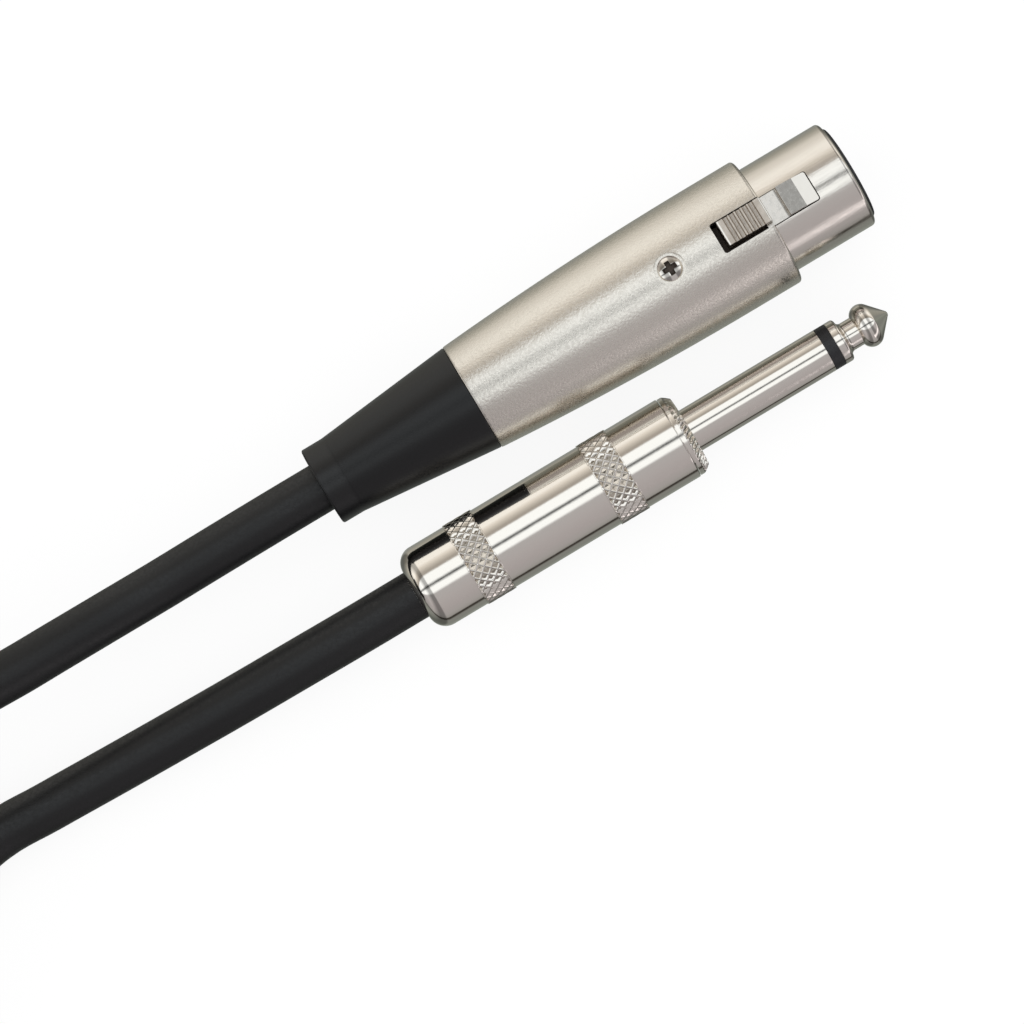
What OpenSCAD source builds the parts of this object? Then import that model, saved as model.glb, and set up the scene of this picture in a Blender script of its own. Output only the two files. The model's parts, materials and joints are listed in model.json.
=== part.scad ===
// Audio lead: a three-pole XLR socket connector and a 6.35 mm jack plug on one round cable.
// Each connector is built along its own axis: local z runs from the cable to the mating end,
// local y points up. place_xlr() and place_jack() then lay them side by side on the floor.

/* [XLR shell] */
// Length of the die-cast shell
shell_len = 47; // [44:0.5:56]
// Largest outer diameter of the shell
shell_d = 19.05; // [18.6:0.05:21]
// How much smaller the shell's radius is at its rear edge
shell_taper = 1.58; // [0.8:0.02:2]
// Straight length at the shell's front, before the taper starts
shell_straight = 7; // [4:0.5:10]
// Wall of the shell behind the nose
shell_wall = 1.3; // [1:0.05:1.5]

/* [XLR nose] */
// Outer diameter of the nose that enters the mating connector
nose_d = 15.9; // [15.6:0.05:16.2]
// Length of the nose in front of the shell
nose_len = 12.7; // [12:0.1:16]
// Wall of the nose tube
nose_wall = 1; // [0.9:0.05:1.1]
// Length of the nose that is held inside the shell
nose_seat_len = 20.9; // [20:0.1:24]

/* [XLR insert and contacts] */
// How far the insert stands out of the nose
insert_proud = 0.45; // [0.2:0.05:1]
// Sideways distance from the axis to contacts 1 and 2
contact_side = 3.81; // [3.7:0.01:3.9]
// Height of contacts 1 and 2 above the axis
contact_rise = 1.11; // [1:0.01:1.2]
// Drop of contact 3 below the axis
contact_drop = 3.97; // [3.8:0.01:4.1]
// Bore of a socket contact, for a 2.4 mm pin
contact_bore_d = 2.44; // [2.42:0.01:2.5]
// Outer diameter of a socket contact
contact_d = 3.2; // [3:0.05:3.3]
// Depth of a contact's bore
contact_depth = 11.5; // [10:0.1:12]
// Length of a solder cup behind the insert
cup_len = 6; // [5:0.1:7]

/* [Latch] */
// Width of the latch's front plate
latch_w = 4.2; // [3.8:0.1:4.4]
// Gap on each side of the front plate
latch_side_gap = 0.18; // [0.15:0.01:0.25]
// Width of the thumb pad
pad_w = 3.7; // [3.2:0.1:3.8]
// Length of the slot in the shell, open at the front
slot_len = 7.75; // [7.2:0.05:8.2]
// Gap behind the thumb pad
pad_gap = 1.4; // [1.2:0.05:1.6]
// Grooves across the thumb pad
pad_grooves = 5; // [3:1:5]
// Reach of the front plate beyond the shell
plate_len = 6.9; // [6.5:0.1:7.4]
// Distance from the shell's front to the hook's upright face
hook_back = 2.5; // [2.2:0.1:2.8]
// Height of the hook above the plate
hook_h = 1.15; // [0.8:0.05:1.3]
// Distance from the shell's front back to the latch pin
pin_back = 9.9; // [9.6:0.1:10.4]
// Height of the latch pin above the connector's axis
pin_rise = 5; // [4.9:0.05:5.1]
// Diameter of the latch pin
pin_d = 1.2; // [1:0.05:1.3]
// Radial running clearance of the latch on its pin
pin_play = 0.04; // [0.02:0.01:0.08]

/* [Shell screw] */
// Distance from the shell's front back to the screw
screw_back = 15.2; // [14.8:0.1:15.8]
// Diameter of the screw's head
screw_head_d = 3.5; // [3:0.1:3.8]
// Diameter of the screw's thread
screw_d = 2; // [1.6:0.1:2.2]
// Ring-shaped gap around the screw's head
screw_head_gap = 0.45; // [0.3:0.05:0.6]

/* [Boot and cable clamp] */
// Length of the rubber boot that shows
boot_len = 23.9; // [20:0.1:30]
// Diameter of the boot's rear collar
boot_rear_d = 11.5; // [10.8:0.1:12.4]
// Length of the boot's rear collar
boot_collar_len = 3.5; // [2:0.1:5]
// Length of the boot's spigot inside the shell
boot_spigot_len = 7.6; // [6:0.1:8]
// Width of the cable clamp along the cable
clamp_len = 6; // [5:0.1:6.4]

/* [Jack barrel] */
// Length of the barrel
barrel_len = 42.4; // [40:0.1:50]
// Outer diameter of the barrel
barrel_d = 12.2; // [11.8:0.05:13]
// Height of the knurled bands above the barrel
band_h = 0.15; // [0.1:0.01:0.2]
// Length of each knurled band
band_len = 4.45; // [3:0.05:5]
// Distance from the barrel's rear to the first band
band_1_at = 8.4; // [6:0.1:10]
// Distance from the barrel's front back to the second band
band_2_back = 12.7; // [10:0.1:14]
// Wall of the barrel
barrel_wall = 1; // [0.9:0.05:1.1]
// Radius of the barrel's rounded rear edge
barrel_fillet = 2.1; // [1.5:0.1:2.1]

/* [Jack plug] */
// Diameter of the plug's sleeve and ball
plug_d = 6.35; // [6.3:0.01:6.4]
// Length of the plug from flange to apex
plug_len = 31.2; // [30.5:0.1:32]
// Length of the sleeve
sleeve_len = 21.6; // [21:0.1:22.4]
// Length of the black insulator ring
ring_len = 1.6; // [1.2:0.1:2]
// Length of the tip's collar
collar_len = 1.4; // [1:0.1:1.8]
// Diameter of the neck behind the ball
neck_d = 4.2; // [3.8:0.1:4.6]
// Thickness of the flange in front of the barrel
flange_t = 1.8; // [1.6:0.1:2.4]
// Diameter of the rod through the sleeve
rod_d = 2.4; // [2:0.1:2.6]

/* [Cable] */
// Outer diameter of the cable
cable_d = 7; // [6.6:0.1:7.1]
// Diameter of an insulated core
core_d = 1.5; // [1.2:0.1:1.7]
// Radius of the hank's innermost fold, at the cable's middle
fold_r = 21; // [21:0.5:24]
// Length of the hank's runs between its folds
hank_run = 46.7; // [44:0.1:52]
// Distance from one loop to the next, across and up
loop_pitch = 7.6; // [7.6:0.1:8]
// How far the tie draws the hank in at its waist, on each side
waist = 4.5; // [3:0.5:6]
// Thickness of the tie's strap
tie_t = 1; // [0.8:0.1:1.1]
// Width of the tie's strap
tie_w = 18; // [12:1:22]

/* [Layout] */
// Distance between the two connectors' axes
axis_gap = 19; // [18:0.5:24]
// How far the jack's rear lies in front of the boot's rear
jack_set_forward = 2.9; // [0:0.1:10]

/* [Hidden] */
$fn = 64;

// Radial gap between round pieces that are seated in each other
seat_gap = 0.05;
// Length by which a cut runs past the face it opens
over = 1;

// --- XLR: stations along its axis, from the boot's rear ---
shell_rear = boot_len;
shell_front = shell_rear + shell_len;
shell_r = shell_d / 2;
taper_end = shell_front - shell_straight;
shell_rear_r = shell_r - shell_taper;
shell_edge_r = 0.5;
nose_r = nose_d / 2;
nose_bore_r = nose_r - nose_wall;
nose_rear = shell_front - nose_seat_len;
nose_front = shell_front + nose_len;
nose_edge_r = 0.6;
insert_r = nose_bore_r - seat_gap;
insert_rear = nose_rear + 0.5;
insert_front = nose_front + insert_proud;
insert_edge_r = 0.35;
boot_flush_step = 0.08;
boot_spigot_r = shell_rear_r - shell_wall - 0.15;
spigot_front = boot_len + boot_spigot_len;

// Shell radius at station z
function shell_radius(z) =
    z >= taper_end
        ? shell_r
        : shell_r - shell_taper * pow((taper_end - z) / (taper_end - shell_rear), 2);

// --- latch ---
slot_w = latch_w + 2 * latch_side_gap;
slot_rear = shell_front - slot_len;
pad_rear = slot_rear + pad_gap;
pad_top = shell_r + 0.05;
plate_front = shell_front + plate_len;
plate_top = nose_r - 0.15;
plate_t = 1.1;
hook_rear = shell_front + hook_back;
hook_top_len = 3.1;
window_end_gap = 0.35;
pin_at = shell_front - pin_back;
hub_r = pin_d / 2 + 0.7;
arm_w = 4;
arm_top = pin_rise + 1.2;
arm_t = 1.3;
pin_len = 2 * (sqrt(pow(nose_r, 2) - pow(pin_rise, 2)) - 0.6);
lever_room = 0.32;
pocket_floor = pin_rise - hub_r - lever_room;
channel_floor = plate_top - plate_t - 1.9;
pocket_rear = pin_at - hub_r - lever_room;
channel_front = plate_front + window_end_gap;

// --- latch spring: stands in a blind hole of the insert, under the pad ---
spring_at = pad_rear + 2.9;
spring_r = 1;
spring_wire_r = 0.2;
spring_turns = 4;
spring_foot = pocket_floor - 1.4;
spring_head = arm_top - arm_t;

// --- screw ---
screw_at = shell_front - screw_back;
screw_seat = shell_radius(screw_at) - 0.75;
screw_head_h = 0.65;
screw_tip = nose_bore_r - 1.3;

// --- contacts ---
contact_spots = [
    [contact_side, contact_rise],
    [-contact_side, contact_rise],
    [0, -contact_drop]
];
contact_front = insert_front - 1.4;
contact_r = contact_d / 2;
contact_nose_len = 0.5;
contact_nose_wall = 0.18;
contact_nose_r = contact_bore_d / 2 + contact_nose_wall;
contact_shoulder = contact_front - contact_nose_len;
entry_r = contact_nose_r + seat_gap;
cup_rear = insert_rear - cup_len;
cup_r = contact_r - 0.15;
cup_bore_r = 1.05;
cup_depth = 4;

// --- clamp and cable end in the XLR ---
cable_r = cable_d / 2;
boot_bore_gap = 0.1;
boot_mouth_gap = 0.8;
clamp_rear = spigot_front;
clamp_front = clamp_rear + clamp_len;
clamp_bore_r = cable_r + 0.03;
clamp_ring_t = 0.75;
clamp_ear_t = 1.4;
clamp_split = 0.25;
clamp_ear_x = sqrt(pow(boot_spigot_r, 2) - pow(clamp_split + clamp_ear_t, 2));
clamp_screw_d = 1.4;
clamp_head_r = 1;
clamp_screw_x = clamp_ear_x - clamp_head_r;
clamp_head_h = 0.7;
xlr_jacket_front = clamp_front + 1.5;
core_r = core_d / 2;
core_lead_in = 1.2;
core_slack = 0.6;

// --- jack: stations along its axis, from the barrel's rear ---
barrel_r = barrel_d / 2;
barrel_bore_r = barrel_r - barrel_wall;
barrel_floor_t = 2.4;
barrel_hole_r = cable_r + 0.2;
band_r = barrel_r + band_h;
flange_front = barrel_len + flange_t;
flange_r = barrel_r - 0.1;
flange_bevel = 0.7;
stub_len = 5.4;
stub_rear = barrel_len - stub_len;
stub_r = barrel_bore_r - seat_gap;
plug_r = plug_d / 2;
sleeve_front = flange_front + sleeve_len;
ring_front = sleeve_front + ring_len;
collar_front = ring_front + collar_len;
plug_front = flange_front + plug_len;
rod_r = rod_d / 2;
sleeve_bore_r = rod_r + 0.65;
neck_r = neck_d / 2;
clamp_lug_t = 0.6;
washer_t = 1;
tip_lug_t = 0.5;
washer_front = stub_rear - clamp_lug_t;
washer_rear = washer_front - washer_t;
tip_lug_rear = washer_rear - tip_lug_t;
rivet_h = 0.5;
liner_t = 0.2;
liner_rear = barrel_floor_t + 0.4;
liner_front = stub_rear - 1.5;
liner_bore_r = barrel_bore_r - seat_gap - liner_t;
jaw_rear = 10;
jaw_len = 6.5;
jaw_t = 0.6;
jaw_in_r = cable_r + 0.03;
jaw_out_r = jaw_in_r + jaw_t;
jaw_open = 100;
jack_jacket_front = jaw_rear + jaw_len + 1.5;
lug_tab_y = 2.2;
lug_tab_len = 8;
lug_tab_rear = tip_lug_rear - lug_tab_len;
wire_lap = 4;
tail_w = 3.6;

// --- the two connectors in the part's frame: origin at the bottom centre of both ---
xlr_x = -insert_front / 2;
half_width = (axis_gap + shell_r + band_r) / 2;
xlr_y = half_width - shell_r;
jack_x = xlr_x + jack_set_forward;
jack_y = xlr_y - axis_gap;
xlr_exit = [xlr_x, xlr_y, shell_r];
jack_exit = [jack_x, jack_y, band_r];

// --- free stretches of the cable, from each connector towards the hank ---
xlr_route = [
    [-60, 7.9, 8.9], [-68, 7.9, 8.4], [-76, 7.7, 9.3], [-84, 7.2, 11.6], [-92, 6.6, 14.8],
    [-99, 6.7, 18], [-106, 7.9, 21.2], [-113, 10.3, 24.1], [-119, 13.5, 26.1]
];
jack_route = [
    [-57, -11, 5.9], [-67, -10.8, 5], [-77, -10.5, 4.1], [-87, -10.2, 3.6], [-97, -9.9, 3.5],
    [-104, -10.6, 3.5], [-110, -12.4, 3.8], [-116, -15.4, 4.3]
];

// --- hank: four layers of loops, wound in and out from the jack's stretch up to the XLR's ---
hank_near = [-160.5, 0];
hank_start = -47;
hank_end = 48;
hank_loops = 10;
fold_share = 1 / 3;
run_share = 1 / 6;
reversals = [2.75, 5.25, 7.75];
rings_per_loop = 24;
hank_lift = tie_t + 0.2;
run_sides = 10;
hank_sides = 6;
tie_clear = 0.3;

// --- helpers ---
function unit(v) = v / norm(v);

// Points of an arc in a profile, from angle a to angle b
function arc(centre, r, a, b, steps = 6) = [
    for (i = [0:steps]) centre + r * [cos(a + (b - a) * i / steps), sin(a + (b - a) * i / steps)]
];

// Smooth step from 0 to 1
function ease(t) = t <= 0 ? 0 : t >= 1 ? 1 : t * t * (3 - 2 * t);

// Direction of a path at point i
function path_dir(path, i) =
    unit(path[min(i + 1, len(path) - 1)] - path[max(i - 1, 0)]);

// One ring of a swept tube, with a corner straight up
function tube_ring(at, dir, r, sides) =
    let (side = unit(cross([0, 0, 1], dir)), up = cross(dir, side))
    [for (k = [0:sides - 1]) at + r * (cos(360 * k / sides) * up + sin(360 * k / sides) * side)];

// A closed tube of triangles along a path
module tube(path, r, sides) {
    rings = len(path);
    points = [for (i = [0:rings - 1]) each tube_ring(path[i], path_dir(path, i), r, sides)];
    walls = [
        for (i = [0:rings - 2], k = [0:sides - 1])
            let (a = i * sides + k, b = i * sides + (k + 1) % sides)
            each [[a, b, b + sides], [a, b + sides, a + sides]]
    ];
    rear_cap = [for (k = [1:sides - 2]) [0, k + 1, k]];
    last = (rings - 1) * sides;
    front_cap = [for (k = [1:sides - 2]) [last, last + k, last + k + 1]];
    polyhedron(points, concat(walls, rear_cap, front_cap), convexity = 10);
}

// A connector's local axes laid along X, with local y up
module lay_along_x() {
    rotate([90, 0, 90]) children();
}

module place_xlr() {
    translate(xlr_exit) lay_along_x() children();
}

module place_jack() {
    translate(jack_exit) lay_along_x() children();
}

// A round hole or rod along local y, from height low to height high
module upright(at_z, r, low, high) {
    translate([0, low, at_z]) rotate([-90, 0, 0]) cylinder(r = r, h = high - low);
}

// A block centred across x, from height low to high and station z0 to z1
module block(w, low, high, z0, z1) {
    translate([-w / 2, low, z0]) cube([w, high - low, z1 - z0]);
}

module ring(r_out, r_in, z0, z1) {
    translate([0, 0, z0]) difference() {
        cylinder(r = r_out, h = z1 - z0);
        translate([0, 0, -over]) cylinder(r = r_in, h = z1 - z0 + 2 * over);
    }
}

module rounded_rect(w, h, r) {
    square([w - 2 * r, h], center = true);
    square([w, h - 2 * r], center = true);
    for (sx = [-1, 1], sy = [-1, 1])
        translate([sx * (w / 2 - r), sy * (h / 2 - r)]) circle(r);
}

// --- XLR pieces ---
module xlr_boot() {
    front_r = shell_rear_r - boot_flush_step;
    bore_r = cable_r + boot_bore_gap;
    mouth_r = cable_r + boot_mouth_gap;
    profile = [
        [mouth_r, 0], [boot_rear_d / 2 - 0.25, 0], [boot_rear_d / 2, 0.25],
        [boot_rear_d / 2, boot_collar_len], [front_r, boot_len],
        [boot_spigot_r, boot_len], [boot_spigot_r, spigot_front],
        [bore_r, spigot_front], [bore_r, boot_collar_len]
    ];
    color("#26262a") place_xlr() rotate_extrude() polygon(profile);
}

module shell_body() {
    steps = 14;
    taper = [
        for (i = [0:steps])
            let (z = shell_rear + (taper_end - shell_rear) * i / steps)
            [shell_radius(z), z]
    ];
    edge = arc([shell_r - shell_edge_r, shell_front - shell_edge_r], shell_edge_r, 0, 90, 3);
    bore_r = nose_r + seat_gap;
    cavity_front = nose_rear - 1.5;
    cavity = [
        for (i = [steps:-1:0])
            let (z = shell_rear + (cavity_front - shell_rear) * i / steps)
            [shell_radius(z) - shell_wall, z]
    ];
    seat = [
        [bore_r, shell_front], [bore_r, nose_rear - seat_gap],
        [nose_bore_r, nose_rear - seat_gap], [nose_bore_r, cavity_front]
    ];
    rotate_extrude() polygon(concat(taper, edge, seat, cavity));
}

// Counterbore and hole of the shell screw, through shell and nose
module screw_hole() {
    upright(screw_at, screw_head_d / 2 + screw_head_gap, screw_seat, shell_r + over);
    upright(screw_at, screw_d / 2 + seat_gap, 0, shell_r);
}

module xlr_shell() {
    color("#cdc7c0") place_xlr() difference() {
        shell_body();
        block(slot_w, 0, shell_r + over, slot_rear, shell_front + over);
        screw_hole();
    }
}

module xlr_nose() {
    body = concat(
        [[nose_bore_r, nose_rear], [nose_r, nose_rear]],
        arc([nose_r - nose_edge_r, nose_front - nose_edge_r], nose_edge_r, 0, 90, 4),
        [[nose_bore_r, nose_front]]
    );
    color("#cfc9c2") place_xlr() difference() {
        rotate_extrude() polygon(body);
        block(slot_w, 0, nose_r + over, slot_rear, plate_front + window_end_gap);
        screw_hole();
        translate([0, pin_rise, pin_at]) rotate([0, 90, 0])
            cylinder(d = pin_d + 2 * seat_gap, h = pin_len + 2 * seat_gap, center = true);
    }
}

module xlr_insert() {
    body = concat(
        [[0, insert_rear], [insert_r, insert_rear]],
        arc([insert_r - insert_edge_r, insert_front - insert_edge_r], insert_edge_r, 0, 90, 3),
        [[0, insert_front]]
    );
    pocket_w = arm_w + 2 * lever_room;
    color("#1d1d20") place_xlr() difference() {
        rotate_extrude() polygon(body);
        block(pocket_w, pocket_floor, nose_r, pocket_rear, shell_front + 0.6);
        block(slot_w + 0.2, channel_floor, nose_r, shell_front, channel_front);
        upright(spring_at, spring_r + spring_wire_r + 0.15, spring_foot, nose_r);
        upright(screw_at, screw_d / 2 + 0.15, screw_tip - 0.2, nose_r);
        translate([0, pin_rise, pin_at]) rotate([0, 90, 0])
            cylinder(d = pin_d + 2 * seat_gap, h = nose_d, center = true);
        for (spot = contact_spots) translate(spot) {
            translate([0, 0, insert_rear - over])
                cylinder(r = contact_r + seat_gap, h = contact_shoulder + seat_gap - insert_rear + over);
            translate([0, 0, contact_shoulder]) cylinder(r = entry_r, h = insert_front);
            translate([0, 0, insert_front - 0.5]) cylinder(r1 = entry_r, r2 = entry_r + 0.55, h = 0.55);
        }
    }
}

module contact(spot) {
    color("#c9b27a") place_xlr() translate(spot) difference() {
        union() {
            translate([0, 0, insert_rear]) cylinder(r = contact_r, h = contact_shoulder - insert_rear);
            translate([0, 0, insert_rear]) cylinder(r = contact_nose_r, h = contact_front - insert_rear);
            translate([0, 0, cup_rear]) cylinder(r = cup_r, h = cup_len + 0.5);
        }
        translate([0, 0, contact_front - contact_depth])
            cylinder(d = contact_bore_d, h = contact_depth + over);
        translate([0, 0, cup_rear - over]) cylinder(r = cup_bore_r, h = cup_depth + over);
        block(cup_r * 2 + over, cup_r * 0.35, cup_r + over, cup_rear - over, cup_rear + cup_depth * 0.7);
    }
}

module xlr_contact_1() contact(contact_spots[0]);
module xlr_contact_2() contact(contact_spots[1]);
module xlr_contact_3() contact(contact_spots[2]);

// Side outline of the latch in front of the pad: plate, hook and lead-in ramp
module plate_outline() {
    foot = plate_top - plate_t;
    polygon([
        [shell_front - 0.9, foot], [plate_front - 0.4, foot], [plate_front, foot + 0.4],
        [plate_front, plate_top - 0.1],
        [hook_rear + hook_top_len, plate_top + hook_h * 0.72],
        [hook_rear + 0.15, plate_top + hook_h], [hook_rear, plate_top + hook_h - 0.15],
        [hook_rear, plate_top], [shell_front - 0.9, plate_top]
    ]);
}

// Side outline of the arm and the grooved thumb pad
module pad_outline() {
    land = 0.9;
    pitch = (shell_front - pad_rear - 2 * land) / pad_grooves;
    difference() {
        translate([pad_rear, arm_top - 0.3]) square([shell_front - pad_rear, pad_top - arm_top + 0.3]);
        for (i = [0:pad_grooves - 1])
            translate([pad_rear + land + pitch * (i + 0.5), pad_top])
                circle(r = pitch * 0.36);
    }
}

// Local z and y of an outline turned into a slab of width w
module slab(w) {
    translate([w / 2, 0, 0]) rotate([0, -90, 0]) linear_extrude(w) children();
}

module latch_lever() {
    foot = arm_top - arm_t;
    color("#d6d0c8") place_xlr() difference() {
        union() {
            slab(arm_w) {
                translate([pin_at, foot]) square([shell_front - pin_at, arm_t]);
                translate([pin_at, pin_rise]) circle(hub_r);
            }
            slab(latch_w) plate_outline();
            slab(arm_w) translate([shell_front - 0.9, foot]) square([0.9, plate_top - foot - 0.3]);
            slab(pad_w) pad_outline();
        }
        translate([0, pin_rise, pin_at]) rotate([0, 90, 0])
            cylinder(d = pin_d + 2 * pin_play, h = arm_w + 2 * over, center = true);
    }
}

module latch_pin() {
    color("#b9b6b0") place_xlr() translate([0, pin_rise, pin_at]) rotate([0, 90, 0])
        cylinder(d = pin_d, h = pin_len, center = true);
}

module latch_spring() {
    length = spring_head - spring_foot - 2 * spring_wire_r - 0.06;
    steps = 12;
    path = [
        for (i = [0:spring_turns * steps])
            let (a = 360 * i / steps, climb = ease(i / (spring_turns * steps)))
            [spring_r * cos(a), spring_r * sin(a), length * (0.5 * climb + 0.5 * i / (spring_turns * steps))]
    ];
    foot = xlr_exit + [spring_at, 0, spring_foot + spring_wire_r + 0.03];
    color("#c8c8c8") translate(foot) tube(path, spring_wire_r, 6);
}

module shell_screw() {
    arm = 2.2;
    slot = 0.6;
    color("#dcd8d2") place_xlr() difference() {
        union() {
            upright(screw_at, screw_head_d / 2, screw_seat, screw_seat + screw_head_h);
            upright(screw_at, screw_d / 2, screw_tip, screw_seat + 0.1);
        }
        translate([0, screw_seat + 0.2, screw_at]) for (a = [45, 135]) rotate([0, a, 0])
            translate([-arm / 2, 0, -slot / 2]) cube([arm, over, slot]);
    }
}

// One half of the cable clamp, above the axis
module clamp_half() {
    outer_r = clamp_bore_r + clamp_ring_t;
    difference() {
        union() {
            translate([0, 0, clamp_rear]) cylinder(r = outer_r, h = clamp_len);
            block(2 * clamp_ear_x, clamp_split, clamp_split + clamp_ear_t, clamp_rear, clamp_front);
        }
        translate([0, 0, clamp_rear - over]) cylinder(r = clamp_bore_r, h = clamp_len + 2 * over);
        block(2 * clamp_ear_x + over, -outer_r - over, clamp_split, clamp_rear - over, clamp_front + over);
        for (side = [-1, 1]) translate([side * clamp_screw_x, 0, 0])
            upright((clamp_rear + clamp_front) / 2, clamp_screw_d / 2 + 0.03, 0, outer_r);
    }
}

module clamp_strap() {
    color("#a9abad") place_xlr() clamp_half();
}

module clamp_base() {
    color("#a9abad") place_xlr() rotate([0, 0, 180]) clamp_half();
}

module clamp_screws() {
    top = clamp_split + clamp_ear_t;
    middle = (clamp_rear + clamp_front) / 2;
    color("#8f9194") place_xlr() for (side = [-1, 1]) translate([side * clamp_screw_x, 0, 0])
        difference() {
            union() {
                upright(middle, clamp_head_r, top, top + clamp_head_h);
                upright(middle, clamp_screw_d / 2, -top, top + 0.1);
            }
            block(2 * clamp_head_r + over, top + 0.35, top + over, middle - 0.15, middle + 0.15);
        }
}

module xlr_jacket_end() {
    color("#232327") place_xlr() cylinder(r = cable_r, h = xlr_jacket_front);
}

// A core from the jacket's end at spot a to spot b, where its last stretch lies straight over length lap
module core(exit, start, end, lap, a, b, r) {
    bend_start = start + core_lead_in;
    bend_end = end - lap - core_slack;
    path = [
        exit + [start, a[0], a[1]],
        exit + [bend_start, a[0], a[1]],
        exit + [(bend_start + bend_end) / 2, (a[0] + b[0]) / 2, (a[1] + b[1]) / 2],
        exit + [bend_end, b[0], b[1]],
        exit + [end, b[0], b[1]]
    ];
    tube(path, r, 8);
}

module xlr_core(i) {
    spot = contact_spots[i];
    core(xlr_exit, xlr_jacket_front, cup_rear + cup_depth, cup_depth, spot * 0.45, spot,
        min(core_r, cup_bore_r - 0.1));
}

module xlr_wire_1() color("#b87333") xlr_core(0);
module xlr_wire_2() color("#b3261e") xlr_core(1);
module xlr_wire_3() color("#e8e6e0") xlr_core(2);

// --- jack pieces ---
module jack_barrel() {
    band_2_at = barrel_len - band_2_back;
    body = concat(
        [[barrel_hole_r, 0]],
        arc([barrel_r - barrel_fillet, barrel_fillet], barrel_fillet, -90, 0, 6),
        [
            [barrel_r, band_1_at], [band_r, band_1_at], [band_r, band_1_at + band_len],
            [barrel_r, band_1_at + band_len],
            [barrel_r, band_2_at], [band_r, band_2_at], [band_r, band_2_at + band_len],
            [barrel_r, band_2_at + band_len],
            [barrel_r, barrel_len - 0.15], [barrel_r - 0.15, barrel_len],
            [barrel_bore_r, barrel_len], [barrel_bore_r, barrel_floor_t],
            [barrel_hole_r, barrel_floor_t]
        ]
    );
    color("#d9d4cd") place_jack() rotate_extrude() polygon(body);
}

module jack_sleeve() {
    body = [
        [sleeve_bore_r, stub_rear], [stub_r, stub_rear], [stub_r, barrel_len],
        [flange_r, barrel_len], [flange_r, flange_front - flange_bevel],
        [flange_r - flange_bevel, flange_front], [plug_r, flange_front],
        [plug_r, sleeve_front], [sleeve_bore_r, sleeve_front]
    ];
    color("#dcd7d0") place_jack() rotate_extrude() polygon(body);
}

module jack_insulator_ring() {
    color("#151517") place_jack() ring(plug_r, rod_r + seat_gap, sleeve_front, ring_front);
}

module jack_tip() {
    scoop_r = plug_r - 0.25 - neck_r;
    ball_r = 1.62;
    ball_at = plug_front - 3.05;
    ball_centre = [plug_r - ball_r, ball_at];
    ball_start = -acos((neck_r - ball_centre[0]) / ball_r);
    apex_r = 0.45;
    body = concat(
        [
            [0, tip_lug_rear - rivet_h], [rod_r + 0.4, tip_lug_rear - rivet_h],
            [rod_r + 0.4, tip_lug_rear], [rod_r, tip_lug_rear],
            [rod_r, ring_front], [plug_r - 0.1, ring_front],
            [plug_r, ring_front + 0.1], [plug_r, collar_front - 0.15],
            [plug_r - 0.15, collar_front]
        ],
        arc([neck_r + scoop_r, collar_front + scoop_r], scoop_r, 270, 180, 5),
        arc(ball_centre, ball_r, ball_start, 50, 9),
        arc([0, plug_front - 0.6], 0.6, 42, 90, 3)
    );
    color("#dcd7d0") place_jack() rotate_extrude() polygon(body);
}

module jack_inner_insulator() {
    color("#ece8dc") place_jack()
        ring(sleeve_bore_r - seat_gap, rod_r + seat_gap, washer_front, sleeve_front);
}

module jack_rear_washer() {
    color("#8a5a2b") place_jack() ring(jaw_in_r - 0.1, rod_r + seat_gap, washer_rear, washer_front);
}

module jack_tip_lug() {
    tab_t = 0.5;
    color("#cfc9c2") place_jack() difference() {
        union() {
            translate([0, 0, tip_lug_rear]) cylinder(r = rod_r + 1.2, h = tip_lug_t);
            block(2.4, lug_tab_y, lug_tab_y + tab_t, lug_tab_rear, tip_lug_rear + tip_lug_t);
        }
        translate([0, 0, tip_lug_rear - over]) cylinder(r = rod_r + seat_gap, h = tip_lug_t + 2 * over);
        upright(lug_tab_rear + 1.2, 0.45, 0, lug_tab_y + over);
    }
}

module jack_clamp_lug() {
    color("#cfc9c2") place_jack() {
        ring(stub_r - 0.6, sleeve_bore_r + 0.05, washer_front, stub_rear);
        block(tail_w, -jaw_out_r, -jaw_in_r, jaw_rear, stub_rear);
        difference() {
            ring(jaw_out_r, jaw_in_r, jaw_rear, jaw_rear + jaw_len);
            rotate([0, 0, 90 - jaw_open / 2]) translate([0, 0, jaw_rear - over])
                rotate_extrude(angle = jaw_open) square([jaw_out_r + over, jaw_len + 2 * over]);
        }
    }
}

module jack_liner() {
    color("#d8d5c8") place_jack()
        ring(barrel_bore_r - seat_gap, liner_bore_r, liner_rear, liner_front);
}

module jack_jacket_end() {
    color("#232327") place_jack() cylinder(r = cable_r, h = jack_jacket_front);
}

module jack_wire_tip() {
    color("#b3261e") core(jack_exit, jack_jacket_front, lug_tab_rear + wire_lap, wire_lap,
        [0, 1], [0, lug_tab_y - core_r - 0.02], core_r);
}

module jack_wire_sleeve() {
    color("#b87333") core(jack_exit, jack_jacket_front, lug_tab_rear + wire_lap, wire_lap,
        [0, -1], [0, -cable_r + core_r + 0.02], core_r);
}

// --- cable ---
// How far the hank's middle line is from its folds' centres after p loops
function loop_offset(p) = fold_r + loop_pitch * (
    p < reversals[0] ? reversals[0] - p :
    p < reversals[1] ? p - reversals[0] :
    p < reversals[2] ? reversals[2] - p : p - reversals[2]
);

// How many layers up it is: it climbs along the run in which it reverses
function loop_level(p) =
    let (climbs = [for (turn = reversals) ease((p - turn) / run_share + 0.5)])
    climbs[0] + climbs[1] + climbs[2];

function drawn_in(t) = waist * pow(sin(180 * t), 2);

// Place on a fold, at an angle seen from above, the far fold's centre being a run away
function on_fold(angle, offset, away) =
    [hank_near[0] - away + offset * cos(angle), hank_near[1] + offset * sin(angle)];

// Place on a run, t of the way from the near fold to the far one, on side -1 or 1
function on_run(t, offset, side) =
    [hank_near[0] - hank_run * t, hank_near[1] + side * (offset - drawn_in(t))];

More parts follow.
